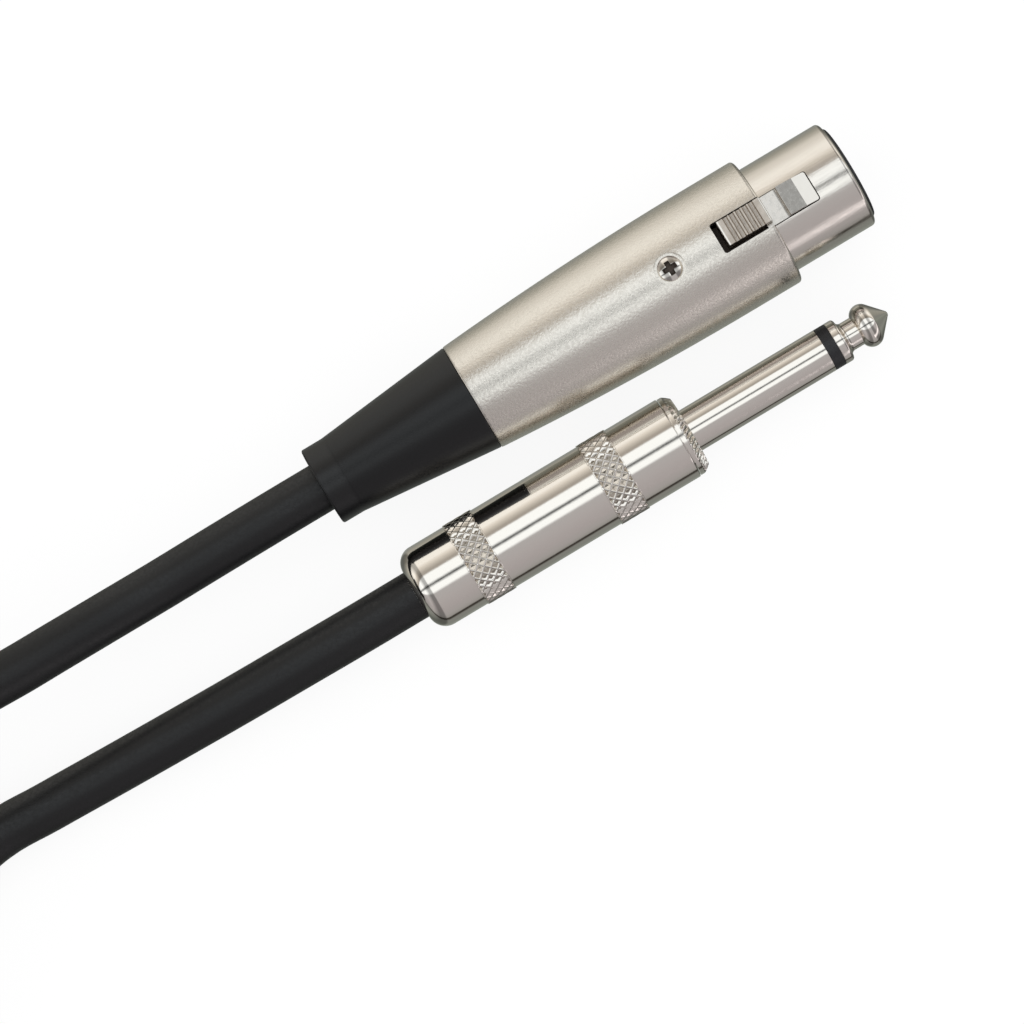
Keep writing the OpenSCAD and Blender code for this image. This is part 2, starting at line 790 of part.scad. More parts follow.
// Place seen from above, where one loop is half a fold, a run, a fold, a run and half a fold
function loop_place(part, offset) =
    let (
        fold_end = fold_share / 2,
        run_end = fold_end + run_share,
        back = run_end + fold_share,
        degrees = 180 / fold_share
    )
    part < fold_end ? on_fold(-degrees * part, offset, 0) :
    part < run_end ? on_run((part - fold_end) / run_share, offset, -1) :
    part < back ? on_fold(-90 - degrees * (part - run_end), offset, hank_run) :
    part < back + run_share ? on_run(1 - (part - back) / run_share, offset, 1) :
    on_fold(degrees * (1 - part), offset, 0);

// Where the hank's middle line is after p loops, going clockwise from the jack's stretch
function hank_point(p) =
    let (place = loop_place(p - floor(p), loop_offset(p)))
    [place[0], place[1], hank_lift + cable_r + loop_pitch * loop_level(p)];

function fold_heading(angle) = [sin(angle), -cos(angle), 0];

first_loop = -hank_start * fold_share / 180;
last_loop = hank_loops - hank_end * fold_share / 180;
hank_first = hank_point(first_loop) - cable_d * fold_heading(hank_start);
hank_last = hank_point(last_loop) + cable_d * fold_heading(hank_end);
hank_rings = round((last_loop - first_loop) * rings_per_loop);
hank_path = concat(
    [hank_first],
    [for (i = [0:hank_rings]) hank_point(first_loop + (last_loop - first_loop) * i / hank_rings)],
    [hank_last]
);
xlr_path = concat(
    [xlr_exit, xlr_exit - [cable_d + 1, 0, 0]],
    xlr_route,
    [hank_last + cable_d * fold_heading(hank_end), hank_last]
);
jack_path = concat(
    [jack_exit, jack_exit - [cable_d + 1, 0, 0]],
    jack_route,
    [hank_first - cable_d * fold_heading(hank_start), hank_first]
);

function path_length(path, i = 1) =
    i >= len(path) ? 0 : norm(path[i] - path[i - 1]) + path_length(path, i + 1);

// Least gap between points that lie half a loop or more apart
function hank_gap() =
    let (n = len(hank_path), skip = rings_per_loop / 2)
    min([
        for (i = [0:n - skip - 1])
            min([for (j = [i + skip:n - 1]) norm(hank_path[i] - hank_path[j])])
    ]) - cable_d;

module cable_xlr_run() {
    echo(xlr_run_length = path_length(xlr_path));
    color("#232327") tube(xlr_path, cable_r, run_sides);
}

module cable_jack_run() {
    echo(jack_run_length = path_length(jack_path));
    color("#232327") tube(jack_path, cable_r, run_sides);
}

module cable_coil() {
    echo(hank_length = path_length(hank_path), loops = last_loop - first_loop, hank_gap = hank_gap());
    echo(whole_length = path_length(xlr_path) + path_length(hank_path) + path_length(jack_path));
    color("#232327") tube(hank_path, cable_r, hank_sides);
}

// The strap goes round both runs at the waist, as wide as the cable is there
tie_x = hank_near[0] - hank_run / 2;
tie_edges = [tie_x - tie_w / 2, tie_x + tie_w / 2];
tie_ys = [
    for (i = [1:len(hank_path) - 1])
        let (
            a = hank_path[i - 1],
            b = hank_path[i],
            from = max(min(a[0], b[0]), tie_edges[0]),
            to = min(max(a[0], b[0]), tie_edges[1])
        )
        if (from < to) each [for (x = [from, to]) a[1] + (b[1] - a[1]) * (x - a[0]) / (b[0] - a[0])]
];

module coil_tie() {
    low = min(tie_ys) - cable_r - tie_clear;
    high = max(tie_ys) + cable_r + tie_clear;
    top = hank_lift + cable_d + len(reversals) * loop_pitch + tie_clear;
    w = high - low;
    h = top - tie_t;
    corner_r = 2.5;
    lap = 0.6;
    color("#2f3136") translate([tie_edges[0], (low + high) / 2, tie_t + h / 2])
        rotate([90, 0, 90]) linear_extrude(tie_w) {
            difference() {
                rounded_rect(w + 2 * tie_t, h + 2 * tie_t, corner_r + tie_t);
                rounded_rect(w, h, corner_r);
            }
            translate([-w * lap / 2, h / 2 + tie_t - over]) square([w * lap, tie_t + over]);
        }
}

xlr_boot();
xlr_shell();
xlr_nose();
xlr_insert();
xlr_contact_1();
xlr_contact_2();
xlr_contact_3();
latch_lever();
latch_pin();
latch_spring();
shell_screw();
clamp_base();
clamp_strap();
clamp_screws();
xlr_jacket_end();
xlr_wire_1();
xlr_wire_2();
xlr_wire_3();
jack_barrel();
jack_sleeve();
jack_insulator_ring();
jack_tip();
jack_inner_insulator();
jack_rear_washer();
jack_tip_lug();
jack_clamp_lug();
jack_liner();
jack_jacket_end();
jack_wire_tip();
jack_wire_sleeve();
cable_xlr_run();
cable_coil();
cable_jack_run();
coil_tie();
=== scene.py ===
"""An audio lead on a pale floor: a three-pole XLR socket connector and a 6.35 mm jack plug,
side by side, on one round cable whose spare length lies folded and tied behind them.

Each connector is modelled along its own axis, in mm: local z runs from the cable to the
mating end, local y points up. along_x() lays it in the frame, in metres.
"""

import json
import math

import bmesh
import bpy
from mathutils import Matrix, Vector


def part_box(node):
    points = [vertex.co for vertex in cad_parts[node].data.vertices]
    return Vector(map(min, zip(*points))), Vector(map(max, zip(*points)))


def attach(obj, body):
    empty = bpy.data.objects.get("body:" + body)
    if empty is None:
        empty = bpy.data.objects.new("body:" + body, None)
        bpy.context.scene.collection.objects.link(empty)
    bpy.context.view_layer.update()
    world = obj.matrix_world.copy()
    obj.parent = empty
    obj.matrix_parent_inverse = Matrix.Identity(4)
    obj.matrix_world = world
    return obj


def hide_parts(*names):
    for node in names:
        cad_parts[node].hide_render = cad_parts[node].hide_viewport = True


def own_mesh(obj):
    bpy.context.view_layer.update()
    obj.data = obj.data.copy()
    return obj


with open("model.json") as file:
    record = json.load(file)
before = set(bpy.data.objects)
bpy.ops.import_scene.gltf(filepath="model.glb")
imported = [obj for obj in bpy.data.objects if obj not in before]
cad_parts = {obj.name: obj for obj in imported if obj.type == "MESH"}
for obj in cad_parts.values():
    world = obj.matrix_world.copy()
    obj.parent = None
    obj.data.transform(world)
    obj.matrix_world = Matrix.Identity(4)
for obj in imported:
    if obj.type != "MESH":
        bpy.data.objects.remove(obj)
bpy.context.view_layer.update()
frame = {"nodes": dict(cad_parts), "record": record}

MM = 0.001

# --- Camera: long lens, straight above across the lead's length, leaning to its -Y side ---
CAMERA_TARGET = Vector((-21.5, -8.33, 8.0)) * MM
CAMERA_DISTANCE = 650 * MM
CAMERA_LEAN = math.radians(6.5)
CAMERA_ROLL = math.radians(30.9)
HALF_FIELD = 70.05 * MM


def make_camera():
    """Looks down on the two connectors, rolled so that they rise to the right."""
    along = Vector((1, 0, 0))
    across = Vector((0, math.cos(CAMERA_LEAN), math.sin(CAMERA_LEAN)))
    back = Vector((0, -math.sin(CAMERA_LEAN), math.cos(CAMERA_LEAN)))
    right = along * math.cos(CAMERA_ROLL) - across * math.sin(CAMERA_ROLL)
    up = along * math.sin(CAMERA_ROLL) + across * math.cos(CAMERA_ROLL)
    data = bpy.data.cameras.new("camera")
    data.sensor_width = 36
    data.lens = data.sensor_width / 2 * CAMERA_DISTANCE / HALF_FIELD
    data.clip_start = 0.01
    camera = bpy.data.objects.new("camera", data)
    turn = Matrix((right, up, back)).transposed().to_4x4()
    camera.matrix_world = Matrix.Translation(CAMERA_TARGET + back * CAMERA_DISTANCE) @ turn
    bpy.context.collection.objects.link(camera)
    bpy.context.scene.camera = camera


make_camera()

# --- Material helpers ---

# Nearly all values of a noise texture lie between these.
NOISE_LOW = 0.35
NOISE_HIGH = 0.65


def linear(hex_colour):
    """Linear RGBA of an sRGB hex colour."""
    parts = [int(hex_colour[i:i + 2], 16) / 255 for i in (1, 3, 5)]
    return [p / 12.92 if p <= 0.04045 else ((p + 0.055) / 1.055) ** 2.4 for p in parts] + [1]


def add(tree, kind, links=None, **settings):
    """A node with its settings; links gives its inputs a value or another node's output."""
    made = tree.nodes.new("ShaderNode" + kind)
    for name, value in settings.items():
        setattr(made, name, value)
    for name, value in (links or {}).items():
        if isinstance(value, bpy.types.NodeSocket):
            tree.links.new(value, made.inputs[name])
        else:
            made.inputs[name].default_value = value
    return made


def start_material(name, hex_colour, roughness, **sockets):
    """A material with its Principled shader, and the object's own coordinates in metres."""
    material = bpy.data.materials.new(name)
    material.use_nodes = True
    tree = material.node_tree
    shader = tree.nodes["Principled BSDF"]
    shader.inputs["Base Color"].default_value = linear(hex_colour)
    shader.inputs["Roughness"].default_value = roughness
    for socket, value in sockets.items():
        shader.inputs[socket.replace("_", " ")].default_value = value
    where = add(tree, "TexCoord").outputs["Object"]
    return material, tree, shader, where


def per_metre(size_mm):
    """Noise scale at which one grain is size_mm wide."""
    return 1 / (size_mm * MM)


def bands_per_metre(pitch_mm):
    """Wave scale at which bands lie pitch_mm apart: at a scale of 1 they lie pi / 10 apart."""
    return math.pi / 10 / (pitch_mm * MM)


def raise_by(tree, shader, height, height_mm):
    """Relief of that height on the shader's normal, from a texture."""
    bump = add(tree, "Bump", {"Height": height, "Distance": height_mm * MM})
    tree.links.new(bump.outputs["Normal"], shader.inputs["Normal"])


def grain_relief(tree, shader, where, size_mm, height_mm, detail=2.0):
    """Fine relief of that grain size and height. Gives back the grain, to colour or dull by."""
    noise = add(tree, "TexNoise", {"Vector": where, "Scale": per_metre(size_mm), "Detail": detail})
    raise_by(tree, shader, noise.outputs["Fac"], height_mm)
    return noise.outputs["Fac"]


def vary(tree, socket, factor, low, high):
    """Drives a roughness or other single number from a noise, between low and high."""
    spread = add(tree, "MapRange", {
        "Value": factor, "From Min": NOISE_LOW, "From Max": NOISE_HIGH, "To Min": low, "To Max": high})
    tree.links.new(spread.outputs["Result"], socket)


def vary_colour(tree, socket, factor, hex_low, hex_high):
    """Drives a colour from a texture, between two colours."""
    mix = add(tree, "Mix", {0: factor, 6: linear(hex_low), 7: linear(hex_high)}, data_type="RGBA")
    tree.links.new(mix.outputs[2], socket)


# --- Materials, by the record's slots ---

# Soft black plastics scatter a little cool light at grazing angles.
SOFT_SHEEN = {"Sheen_Weight": 0.02, "Sheen_Roughness": 0.4, "Sheen_Tint": linear("#AEB6C8")}


def satin_nickel():
    """Nickel plate on blasted die-cast zinc: a soft metal glow, grainy where light turns dark."""
    material, tree, shader, where = start_material("satin_nickel", "#E0DAD1", 0.27, Metallic=1.0)
    grain = grain_relief(tree, shader, where, 0.34, 0.030, detail=3.0)
    vary(tree, shader.inputs["Roughness"], grain, 0.22, 0.34)
    vary_colour(tree, shader.inputs["Base Color"], grain, "#D8D2C9", "#E6E0D7")
    return material


def nose_nickel():
    """Nickel plate on a drawn brass tube: smoother than the casting, with faint draw streaks."""
    material, tree, shader, where = start_material("nose_nickel", "#E0DAD2", 0.17, Metallic=1.0)
    drawn_out = add(tree, "Mapping", {"Vector": where, "Scale": (0.12, 1.0, 1.0)})
    streaks = grain_relief(tree, shader, drawn_out.outputs["Vector"], 0.3, 0.010, detail=3.0)
    vary(tree, shader.inputs["Roughness"], streaks, 0.13, 0.21)
    return material


def polished_nickel():
    """Bright nickel plate on turned brass: mirror-like, with slight waviness from the polish."""
    material, tree, shader, where = start_material("polished_nickel", "#E4DED6", 0.07, Metallic=1.0)
    waves = grain_relief(tree, shader, where, 0.9, 0.0035, detail=3.0)
    vary(tree, shader.inputs["Roughness"], waves, 0.05, 0.10)
    return material


def plated_contact():
    """Tinned brass, as stamped and turned: warm, bright and slightly rough."""
    material, tree, shader, where = start_material("plated_contact", "#D9C48E", 0.25, Metallic=1.0)
    marks = grain_relief(tree, shader, where, 0.2, 0.004)
    vary_colour(tree, shader.inputs["Base Color"], marks, "#CDB67E", "#E2D09E")
    return material


def steel():
    """Zinc-plated steel wire and sheet: cool grey, with a dull bloom."""
    material, tree, shader, where = start_material("steel", "#BDBEC0", 0.32, Metallic=1.0)
    bloom = grain_relief(tree, shader, where, 0.5, 0.003)
    vary(tree, shader.inputs["Roughness"], bloom, 0.25, 0.40)
    return material


def copper():
    """Bare stranded copper: fine ridges 0.5 mm apart wound along the wire, pink where fresh."""
    material, tree, shader, where = start_material("copper", "#C98A64", 0.35, Metallic=1.0)
    lay = add(tree, "Mapping", {"Vector": where, "Rotation": (0.0, 0.5, 0.4)})
    strands = add(tree, "TexWave", {
        "Vector": lay.outputs["Vector"], "Scale": bands_per_metre(0.503)}).outputs["Fac"]
    raise_by(tree, shader, strands, 0.05)
    vary_colour(tree, shader.inputs["Base Color"], strands, "#A8623F", "#D89A74")
    return material


def painted_shade_metal():
    """Painted shade: dull, dark brown metal put on faces down in a slot or recess, where shade falls;
    the noise varies this painted shade at random.
    """
    material, tree, shader, where = start_material("painted_shade_metal", "#4A423C", 0.6, Metallic=0.6)
    shade_mottle = grain_relief(tree, shader, where, 0.3, 0.004)
    vary_colour(tree, shader.inputs["Base Color"], shade_mottle, "#3A332E", "#5E544C")
    return material


def pad_nickel():
    """Ribs of the thumb pad: nickel brushed dull by fingers, warm between the ribs."""
    material, tree, shader, where = start_material("pad_nickel", "#BFB5AA", 0.34, Metallic=1.0)
    wear = grain_relief(tree, shader, where, 0.8, 0.002)
    vary(tree, shader.inputs["Roughness"], wear, 0.28, 0.4)
    return material


def worn_nickel():
    """Latch plate, rubbed by each mating connector: bright nickel with dents and dull patches."""
    material, tree, shader, where = start_material("worn_nickel", "#CAC4BC", 0.16, Metallic=1.0)
    dents = grain_relief(tree, shader, where, 0.7, 0.02)
    vary_colour(tree, shader.inputs["Base Color"], dents, "#B4ADA5", "#DCD8D2")
    vary(tree, shader.inputs["Roughness"], dents, 0.1, 0.3)
    return material


def insert_nylon():
    """Glass-filled black nylon, injection moulded: a dark satin with a faint mottle."""
    material, tree, shader, where = start_material("insert_nylon", "#1B1B1E", 0.42)
    mottle = grain_relief(tree, shader, where, 0.25, 0.006)
    vary(tree, shader.inputs["Roughness"], mottle, 0.36, 0.50)
    return material


def boot_rubber():
    """Thermoplastic rubber, moulded in a spark-eroded tool: near black, matt, finely grained."""
    material, tree, shader, where = start_material(
        "boot_rubber", "#070709", 0.33, Specular_IOR_Level=0.46, **SOFT_SHEEN)
    grain = grain_relief(tree, shader, where, 0.16, 0.008, detail=3.0)
    vary(tree, shader.inputs["Roughness"], grain, 0.30, 0.38)
    vary_colour(tree, shader.inputs["Base Color"], grain, "#050507", "#0A0A0C")
    return material


def cable_jacket():
    """Extruded soft PVC: near black, silky along its length, with faint ripples of the cores."""
    material, tree, shader, where = start_material(
        "cable_jacket", "#08080A", 0.34, Specular_IOR_Level=0.5, **SOFT_SHEEN)
    grain = grain_relief(tree, shader, where, 0.45, 0.006, detail=4.0)
    vary(tree, shader.inputs["Roughness"], grain, 0.38, 0.52)
    vary_colour(tree, shader.inputs["Base Color"], grain, "#060608", "#0B0B0D")
    return material


def tie_fabric():
    """Woven hook-and-loop strap: crossed threads about 1 mm apart under a short dark nap."""
    material, tree, shader, where = start_material(
        "tie_fabric", "#2F3136", 0.85, Sheen_Weight=0.4, Sheen_Roughness=0.5)
    warp, weft = [
        add(tree, "TexWave", {
            "Vector": where, "Scale": bands_per_metre(0.9865), "Distortion": 0.6, "Detail": 2.0},
            bands_direction=direction).outputs["Fac"]
        for direction in ("X", "Y")]
    weave = add(tree, "Math", {0: warp, 1: weft}, operation="MULTIPLY").outputs["Value"]
    raise_by(tree, shader, weave, 0.15)
    vary_colour(tree, shader.inputs["Base Color"], weave, "#202227", "#3C3F46")
    return material


def moulded_plastic(name, hex_colour, hex_worn, roughness):
    """Extruded or moulded plastic with a faint cloudiness."""
    material, tree, shader, where = start_material(name, hex_colour, roughness)
    cloud = grain_relief(tree, shader, where, 0.6, 0.004)
    vary_colour(tree, shader.inputs["Base Color"], cloud, hex_colour, hex_worn)
    return material


MATERIALS = {
    "satin_nickel": satin_nickel(),
    "polished_nickel": polished_nickel(),
    "plated_contact": plated_contact(),
    "steel": steel(),
    "copper": copper(),
    "insert_nylon": insert_nylon(),
    "boot_rubber": boot_rubber(),
    "cable_jacket": cable_jacket(),
    "tie_fabric": tie_fabric(),
    # Polyester sheet round the solder joints, milky where it is rolled.
    "clear_liner": moulded_plastic("clear_liner", "#D8D5C8", "#E4E1D6", 0.2),
    # Vulcanised fibre: a brown board with darker flecks.
    "fibre_washer": moulded_plastic("fibre_washer", "#7E4B22", "#96602F", 0.7),
    # Polythene insulation of the cores.
    "white_plastic": moulded_plastic("white_plastic", "#E8E6E0", "#DAD6CC", 0.4),
    "red_plastic": moulded_plastic("red_plastic", "#A8201A", "#BC3A30", 0.4),
}
NOSE_NICKEL = nose_nickel()
# Dark metal that paints shade into slots and recesses.
PAINTED_SHADE_METAL = painted_shade_metal()
PAD_NICKEL = pad_nickel()
WORN_NICKEL = worn_nickel()

for part in frame["record"]["subparts"]:
    shown = frame["nodes"][part["node"]].data.materials
    shown.clear()
    shown.append(MATERIALS[part["material_slot"]])

# --- Cable: one 7 mm cable from the boot, through the hank, to the barrel; sizes in mm ---
CABLE_D = 7.0
STRAIGHT_LEN = CABLE_D + 1

# A loop of the hank is two half-circle folds about centres HANK_RUN apart, and two runs
# between them that the tie draws in by WAIST. The cable joins it and leaves it part way round
# the near fold, at HANK_START and HANK_END degrees.
HANK_NEAR = (-160.5, 0.0)
HANK_START = -45
HANK_END = 48
HANK_LOOPS = 10
HANK_RUN = 46.7
FOLD_R = 21.0
LOOP_PITCH = 7.6
WAIST = 4.5
FOLD_SHARE = 1 / 3
RUN_SHARE = 1 / 6
# Loops after which the spiral changes between inward and outward, one layer higher each time.
REVERSALS = (2.75, 5.25, 7.75)
TIE_T = 1.0
HANK_LIFT = TIE_T + 0.2
POINTS_PER_LOOP = 36
# Middle line between each connector and the hank, in mm of the frame.
XLR_ROUTE = [
    (-60, 7.9, 8.9), (-68, 7.9, 8.4), (-76, 7.8, 9.3), (-84, 7.5, 11.6), (-92, 7.1, 14.8),
    (-99, 7.1, 18), (-106, 8.1, 21.2), (-113, 10.3, 24.1), (-119, 13.5, 26.1),
]
JACK_ROUTE = [
    (-57, -11, 5.9), (-67, -10.8, 5), (-77, -10.5, 4.1), (-87, -10.2, 3.6), (-97, -9.9, 3.5),
    (-105.5, -9.75, 3.5), (-110.2, -10.8, 3.7), (-114.4, -12.9, 4.1), (-117.7, -15.4, 4.5),
]


def rear_of(node):
    """Middle of a turned CAD node's rear end, in metres."""
    low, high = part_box(node)
    return Vector((low.x, (low.y + high.y) / 2, (low.z + high.z) / 2))


XLR_AT = rear_of("xlr_boot")
JACK_AT = rear_of("jack_barrel")


def ease(t):
    """Smooth step from 0 to 1."""
    t = min(max(t, 0), 1)
    return t * t * (3 - 2 * t)


def loop_offset(p):
    """How far the cable is from its folds' centres after p loops: in, out, in and out again."""
    first, second, third = REVERSALS
    if p < second:
        return FOLD_R + LOOP_PITCH * abs(p - first)
    return FOLD_R + LOOP_PITCH * abs(p - third)


def on_fold(degrees, offset, away):
    """Place on a fold, seen from above, at an angle about its centre."""
    a = math.radians(degrees)
    return HANK_NEAR[0] - away + offset * math.cos(a), HANK_NEAR[1] + offset * math.sin(a)


def on_run(t, offset, side):
    """Place on a run, seen from above, a share t of the way to the far fold."""
    drawn_in = WAIST * math.sin(math.pi * t) ** 2
    return HANK_NEAR[0] - HANK_RUN * t, HANK_NEAR[1] + side * (offset - drawn_in)


def loop_place(part, offset):
    """Place seen from above: half a fold, a run, the far fold, a run and half a fold."""
    fold_end = FOLD_SHARE / 2
    run_end = fold_end + RUN_SHARE
    back = run_end + FOLD_SHARE
    degrees = 180 / FOLD_SHARE
    if part < fold_end:
        return on_fold(-degrees * part, offset, 0)
    if part < run_end:
        return on_run((part - fold_end) / RUN_SHARE, offset, -1)
    if part < back:
        return on_fold(-90 - degrees * (part - run_end), offset, HANK_RUN)
    if part < back + RUN_SHARE:
        return on_run(1 - (part - back) / RUN_SHARE, offset, 1)
    return on_fold(degrees * (1 - part), offset, 0)


def hank_point(p):
    """Where the cable's middle line is after p loops of the hank, in mm."""
    x, y = loop_place(p % 1, loop_offset(p))
    level = sum(ease((p - turn) / RUN_SHARE + 0.5) for turn in REVERSALS)
    return Vector((x, y, HANK_LIFT + CABLE_D / 2 + LOOP_PITCH * level))


def fold_heading(degrees):
    """Direction of the cable on the near fold, at that angle."""
    return Vector((math.sin(math.radians(degrees)), -math.cos(math.radians(degrees)), 0))


def cable_points():
    """The cable's middle line, from the XLR connector to the jack plug, in mm."""
    straight = Vector((STRAIGHT_LEN, 0, 0))
    lead_in = CABLE_D * fold_heading(HANK_END)
    lead_out = CABLE_D * fold_heading(HANK_START)
    first_loop = -HANK_START * FOLD_SHARE / 180
    last_loop = HANK_LOOPS - HANK_END * FOLD_SHARE / 180
    last = hank_point(last_loop) + lead_in
    first = hank_point(first_loop) - lead_out
    loops = last_loop - first_loop
    steps = round(loops * POINTS_PER_LOOP)
    hank = [hank_point(last_loop - loops * i / steps) for i in range(steps + 1)]
    xlr_run = [XLR_AT / MM, XLR_AT / MM - straight] + [Vector(p) for p in XLR_ROUTE]
    jack_run = [JACK_AT / MM, JACK_AT / MM - straight] + [Vector(p) for p in JACK_ROUTE]
    xlr_run += [last + lead_in, last]
    jack_run += [first - lead_out, first]
    return xlr_run + hank + jack_run[::-1]


def make_cable():
    """The whole cable, as one round tube along its middle line."""
    curve = bpy.data.curves.new("cable", "CURVE")
    curve.dimensions = "3D"
    curve.bevel_depth = CABLE_D / 2 * MM
    curve.bevel_resolution = 10
    curve.use_fill_caps = True
    points = cable_points()
    spline = curve.splines.new("BEZIER")
    spline.resolution_u = 5
    spline.bezier_points.add(len(points) - 1)
    for knot, place in zip(spline.bezier_points, points):
        knot.co = place * MM
        knot.handle_left_type = knot.handle_right_type = "AUTO"
    curve.materials.append(MATERIALS["cable_jacket"])
    cable = bpy.data.objects.new("cable", curve)
    bpy.context.collection.objects.link(cable)
    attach(cable, "lead")
    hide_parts("cable_xlr_run", "cable_coil", "cable_jack_run")
    return cable


cable = make_cable()

# --- Mesh helpers, in a connector's own axes, in mm ---


def along_x(at):
    """Lays a connector's own axes, in mm, along X from the point at, in metres."""
    return Matrix(((0, 0, MM, at.x), (MM, 0, 0, at.y), (0, MM, 0, at.z), (0, 0, 0, 1)))


ON_XLR = along_x(XLR_AT)
ON_JACK = along_x(JACK_AT)


def spaced(start, end, steps):
    """Evenly spaced values from start to end."""
    return [start + (end - start) * i / steps for i in range(steps + 1)]


def arc(centre, r, start, end, steps=10):
    """Points of an arc, from angle start to angle end in degrees."""
    turns = [math.radians(degrees) for degrees in spaced(start, end, steps)]
    return [(centre[0] + r * math.cos(a), centre[1] + r * math.sin(a)) for a in turns]


def held(profile, closed, near=0.05):
    """A profile with a point near each end of its long stretches, so shading stays level there."""
    ends = profile[1:] + (profile[:1] if closed else [])
    out = []
    for (r0, z0), (r1, z1) in zip(profile, ends):
        out.append((r0, z0))
        length = math.hypot(r1 - r0, z1 - z0)
        if length > 6 * near:
            for share in (near / length, 1 - near / length):
                out.append((r0 + (r1 - r0) * share, z0 + (z1 - z0) * share))
    if not closed:
        out.append(profile[-1])
    return out


def lathe(profile, sides=192, closed=False, carve=None):
    """A turned solid from (radius, station) points. carve(angle, station, radius) is the depth
    of metal taken off there."""
    bm = bmesh.new()
    angles = [2 * math.pi * i / sides for i in range(sides)]
    rings = []
    for r, z in held(profile, closed):
        if r < 1e-6:
            rings.append([bm.verts.new((0, 0, z))])
            continue
        depth = [carve(a, z, r) if carve else 0 for a in angles]
        rings.append([
            bm.verts.new(((r - d) * math.cos(a), (r - d) * math.sin(a), z))
            for a, d in zip(angles, depth)])
    for low, high in zip(rings, rings[1:] + (rings[:1] if closed else [])):
        for i in range(sides):
            j = (i + 1) % sides
            quad = [low[i % len(low)], low[j % len(low)], high[j % len(high)], high[i % len(high)]]
            corners = list(dict.fromkeys(quad))
            if len(corners) > 2:
                bm.faces.new(corners)
    bmesh.ops.recalc_face_normals(bm, faces=bm.faces)
    return bm


def skin(bm, rings):
    """Closes a row of vertex rings, all of one length, into a solid with flat ends."""
    bm.faces.new(rings[0])
    bm.faces.new(rings[-1][::-1])
    for near, far in zip(rings, rings[1:]):
        for i in range(len(near)):
            j = (i + 1) % len(near)
            bm.faces.new((near[i], near[j], far[j], far[i]))
    bmesh.ops.recalc_face_normals(bm, faces=bm.faces)
    return bm


def extrude(outline, place, low, high):
    """A prism: an outline of points, laid by place(u, v, w), from depth low to high."""
    bm = bmesh.new()
    return skin(bm, [[bm.verts.new(place(u, v, w)) for u, v in outline] for w in (low, high)])


def slab(outline, width):
    """A side outline of (station, height) points, as a slab of that width."""
    return extrude(outline, lambda u, v, w: (w, v, u), -width / 2, width / 2)


def plan(outline, low, high):
    """A plan outline of (across, station) points, from height low to high."""
    return extrude(outline, lambda u, v, w: (u, w, v), low, high)


def oblong(rear, front, low, high):
    """Side outline of a block, in (station, height) points."""
    return [(rear, low), (front, low), (front, high), (rear, high)]


def rounded(width, start, end, corner, round_front=True, round_rear=True):
    """Plan outline of a slot or plate centred across, with rounded corners."""
    h = width / 2
    rear = [(-h, start), (h, start)]
    front = [(h, end), (-h, end)]
    if round_rear:
        rear = arc((corner - h, start + corner), corner, 180, 270, 6)
        rear += arc((h - corner, start + corner), corner, 270, 360, 6)
    if round_front:
        front = arc((h - corner, end - corner), corner, 0, 90, 6)
        front += arc((corner - h, end - corner), corner, 90, 180, 6)
    return rear + front


def upright(solid, station, height):
    """Stands a lathed solid on local y, at that station and height."""
    solid.transform(Matrix(((1, 0, 0, 0), (0, 0, 1, height), (0, -1, 0, station), (0, 0, 0, 1))))
    return solid


def rod(r, low, high, sides=64):
    """A plain round bar, or the metal that a plain hole takes away."""
    return lathe([(0, low), (r, low), (r, high), (0, high)], sides)


def as_object(bm, name):
    """An object from a finished mesh, still in its own axes."""
    mesh = bpy.data.meshes.new(name)
    bm.to_mesh(mesh)
    bm.free()
    made = bpy.data.objects.new(name, mesh)
    bpy.context.collection.objects.link(made)
    return made


BEVEL_STEPS = 2
BEVEL_FROM = math.radians(38)


def shaped(name, bm, joins=(), cuts=(), keeps=(), bevel=0.0):
    """A solid joined with others, less the cuts, inside the keeps, its sharp edges softened."""
    made = as_object(bm, name)
    tools = []
    for operation, solids in (("UNION", joins), ("DIFFERENCE", cuts), ("INTERSECT", keeps)):
        for solid in solids:
            tool = as_object(solid, name + "_tool")
            tool.hide_render = True
            tools.append(tool)
            step = made.modifiers.new("shape", "BOOLEAN")
            step.operation = operation
            step.solver = "EXACT"
            step.object = tool
    if bevel:
        for polygon in made.data.polygons:
            polygon.use_smooth = True
        edge = made.modifiers.new("edges", "BEVEL")
        edge.width = bevel
        edge.segments = BEVEL_STEPS
        edge.limit_method = "ANGLE"
        edge.angle_limit = BEVEL_FROM
        edge.harden_normals = True
    bpy.context.view_layer.update()
    seen = made.evaluated_get(bpy.context.evaluated_depsgraph_get())
    mesh = bpy.data.meshes.new_from_object(seen)
    made.modifiers.clear()
    made.data = mesh
    for tool in tools:
        bpy.data.objects.remove(tool)
    return made


def faces_where(made, test):
    """Numbers of the faces whose centre passes a test."""
    return [face.index for face in made.data.polygons if test(face.center)]


def finish(made, faces, material):
    """Gives some faces of a piece a finish of their own."""
    made.data.materials.append(material)
    for index in faces:
        made.data.polygons[index].material_index = len(made.data.materials) - 1


def fit(made, laid, slot, node, body="lead", sharp=None, material=None):
    """Lays a finished solid in the frame, gives it its finish and its body, and hides the CAD node it
    replaces.
    """
    made.data.transform(laid)
    made.data.materials.clear()
    made.data.materials.append(material or MATERIALS[slot])
    if sharp:
        made.data.shade_smooth()
        made.data.set_sharp_from_angle(angle=math.radians(sharp))
    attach(made, body)
    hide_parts(node)
    return made


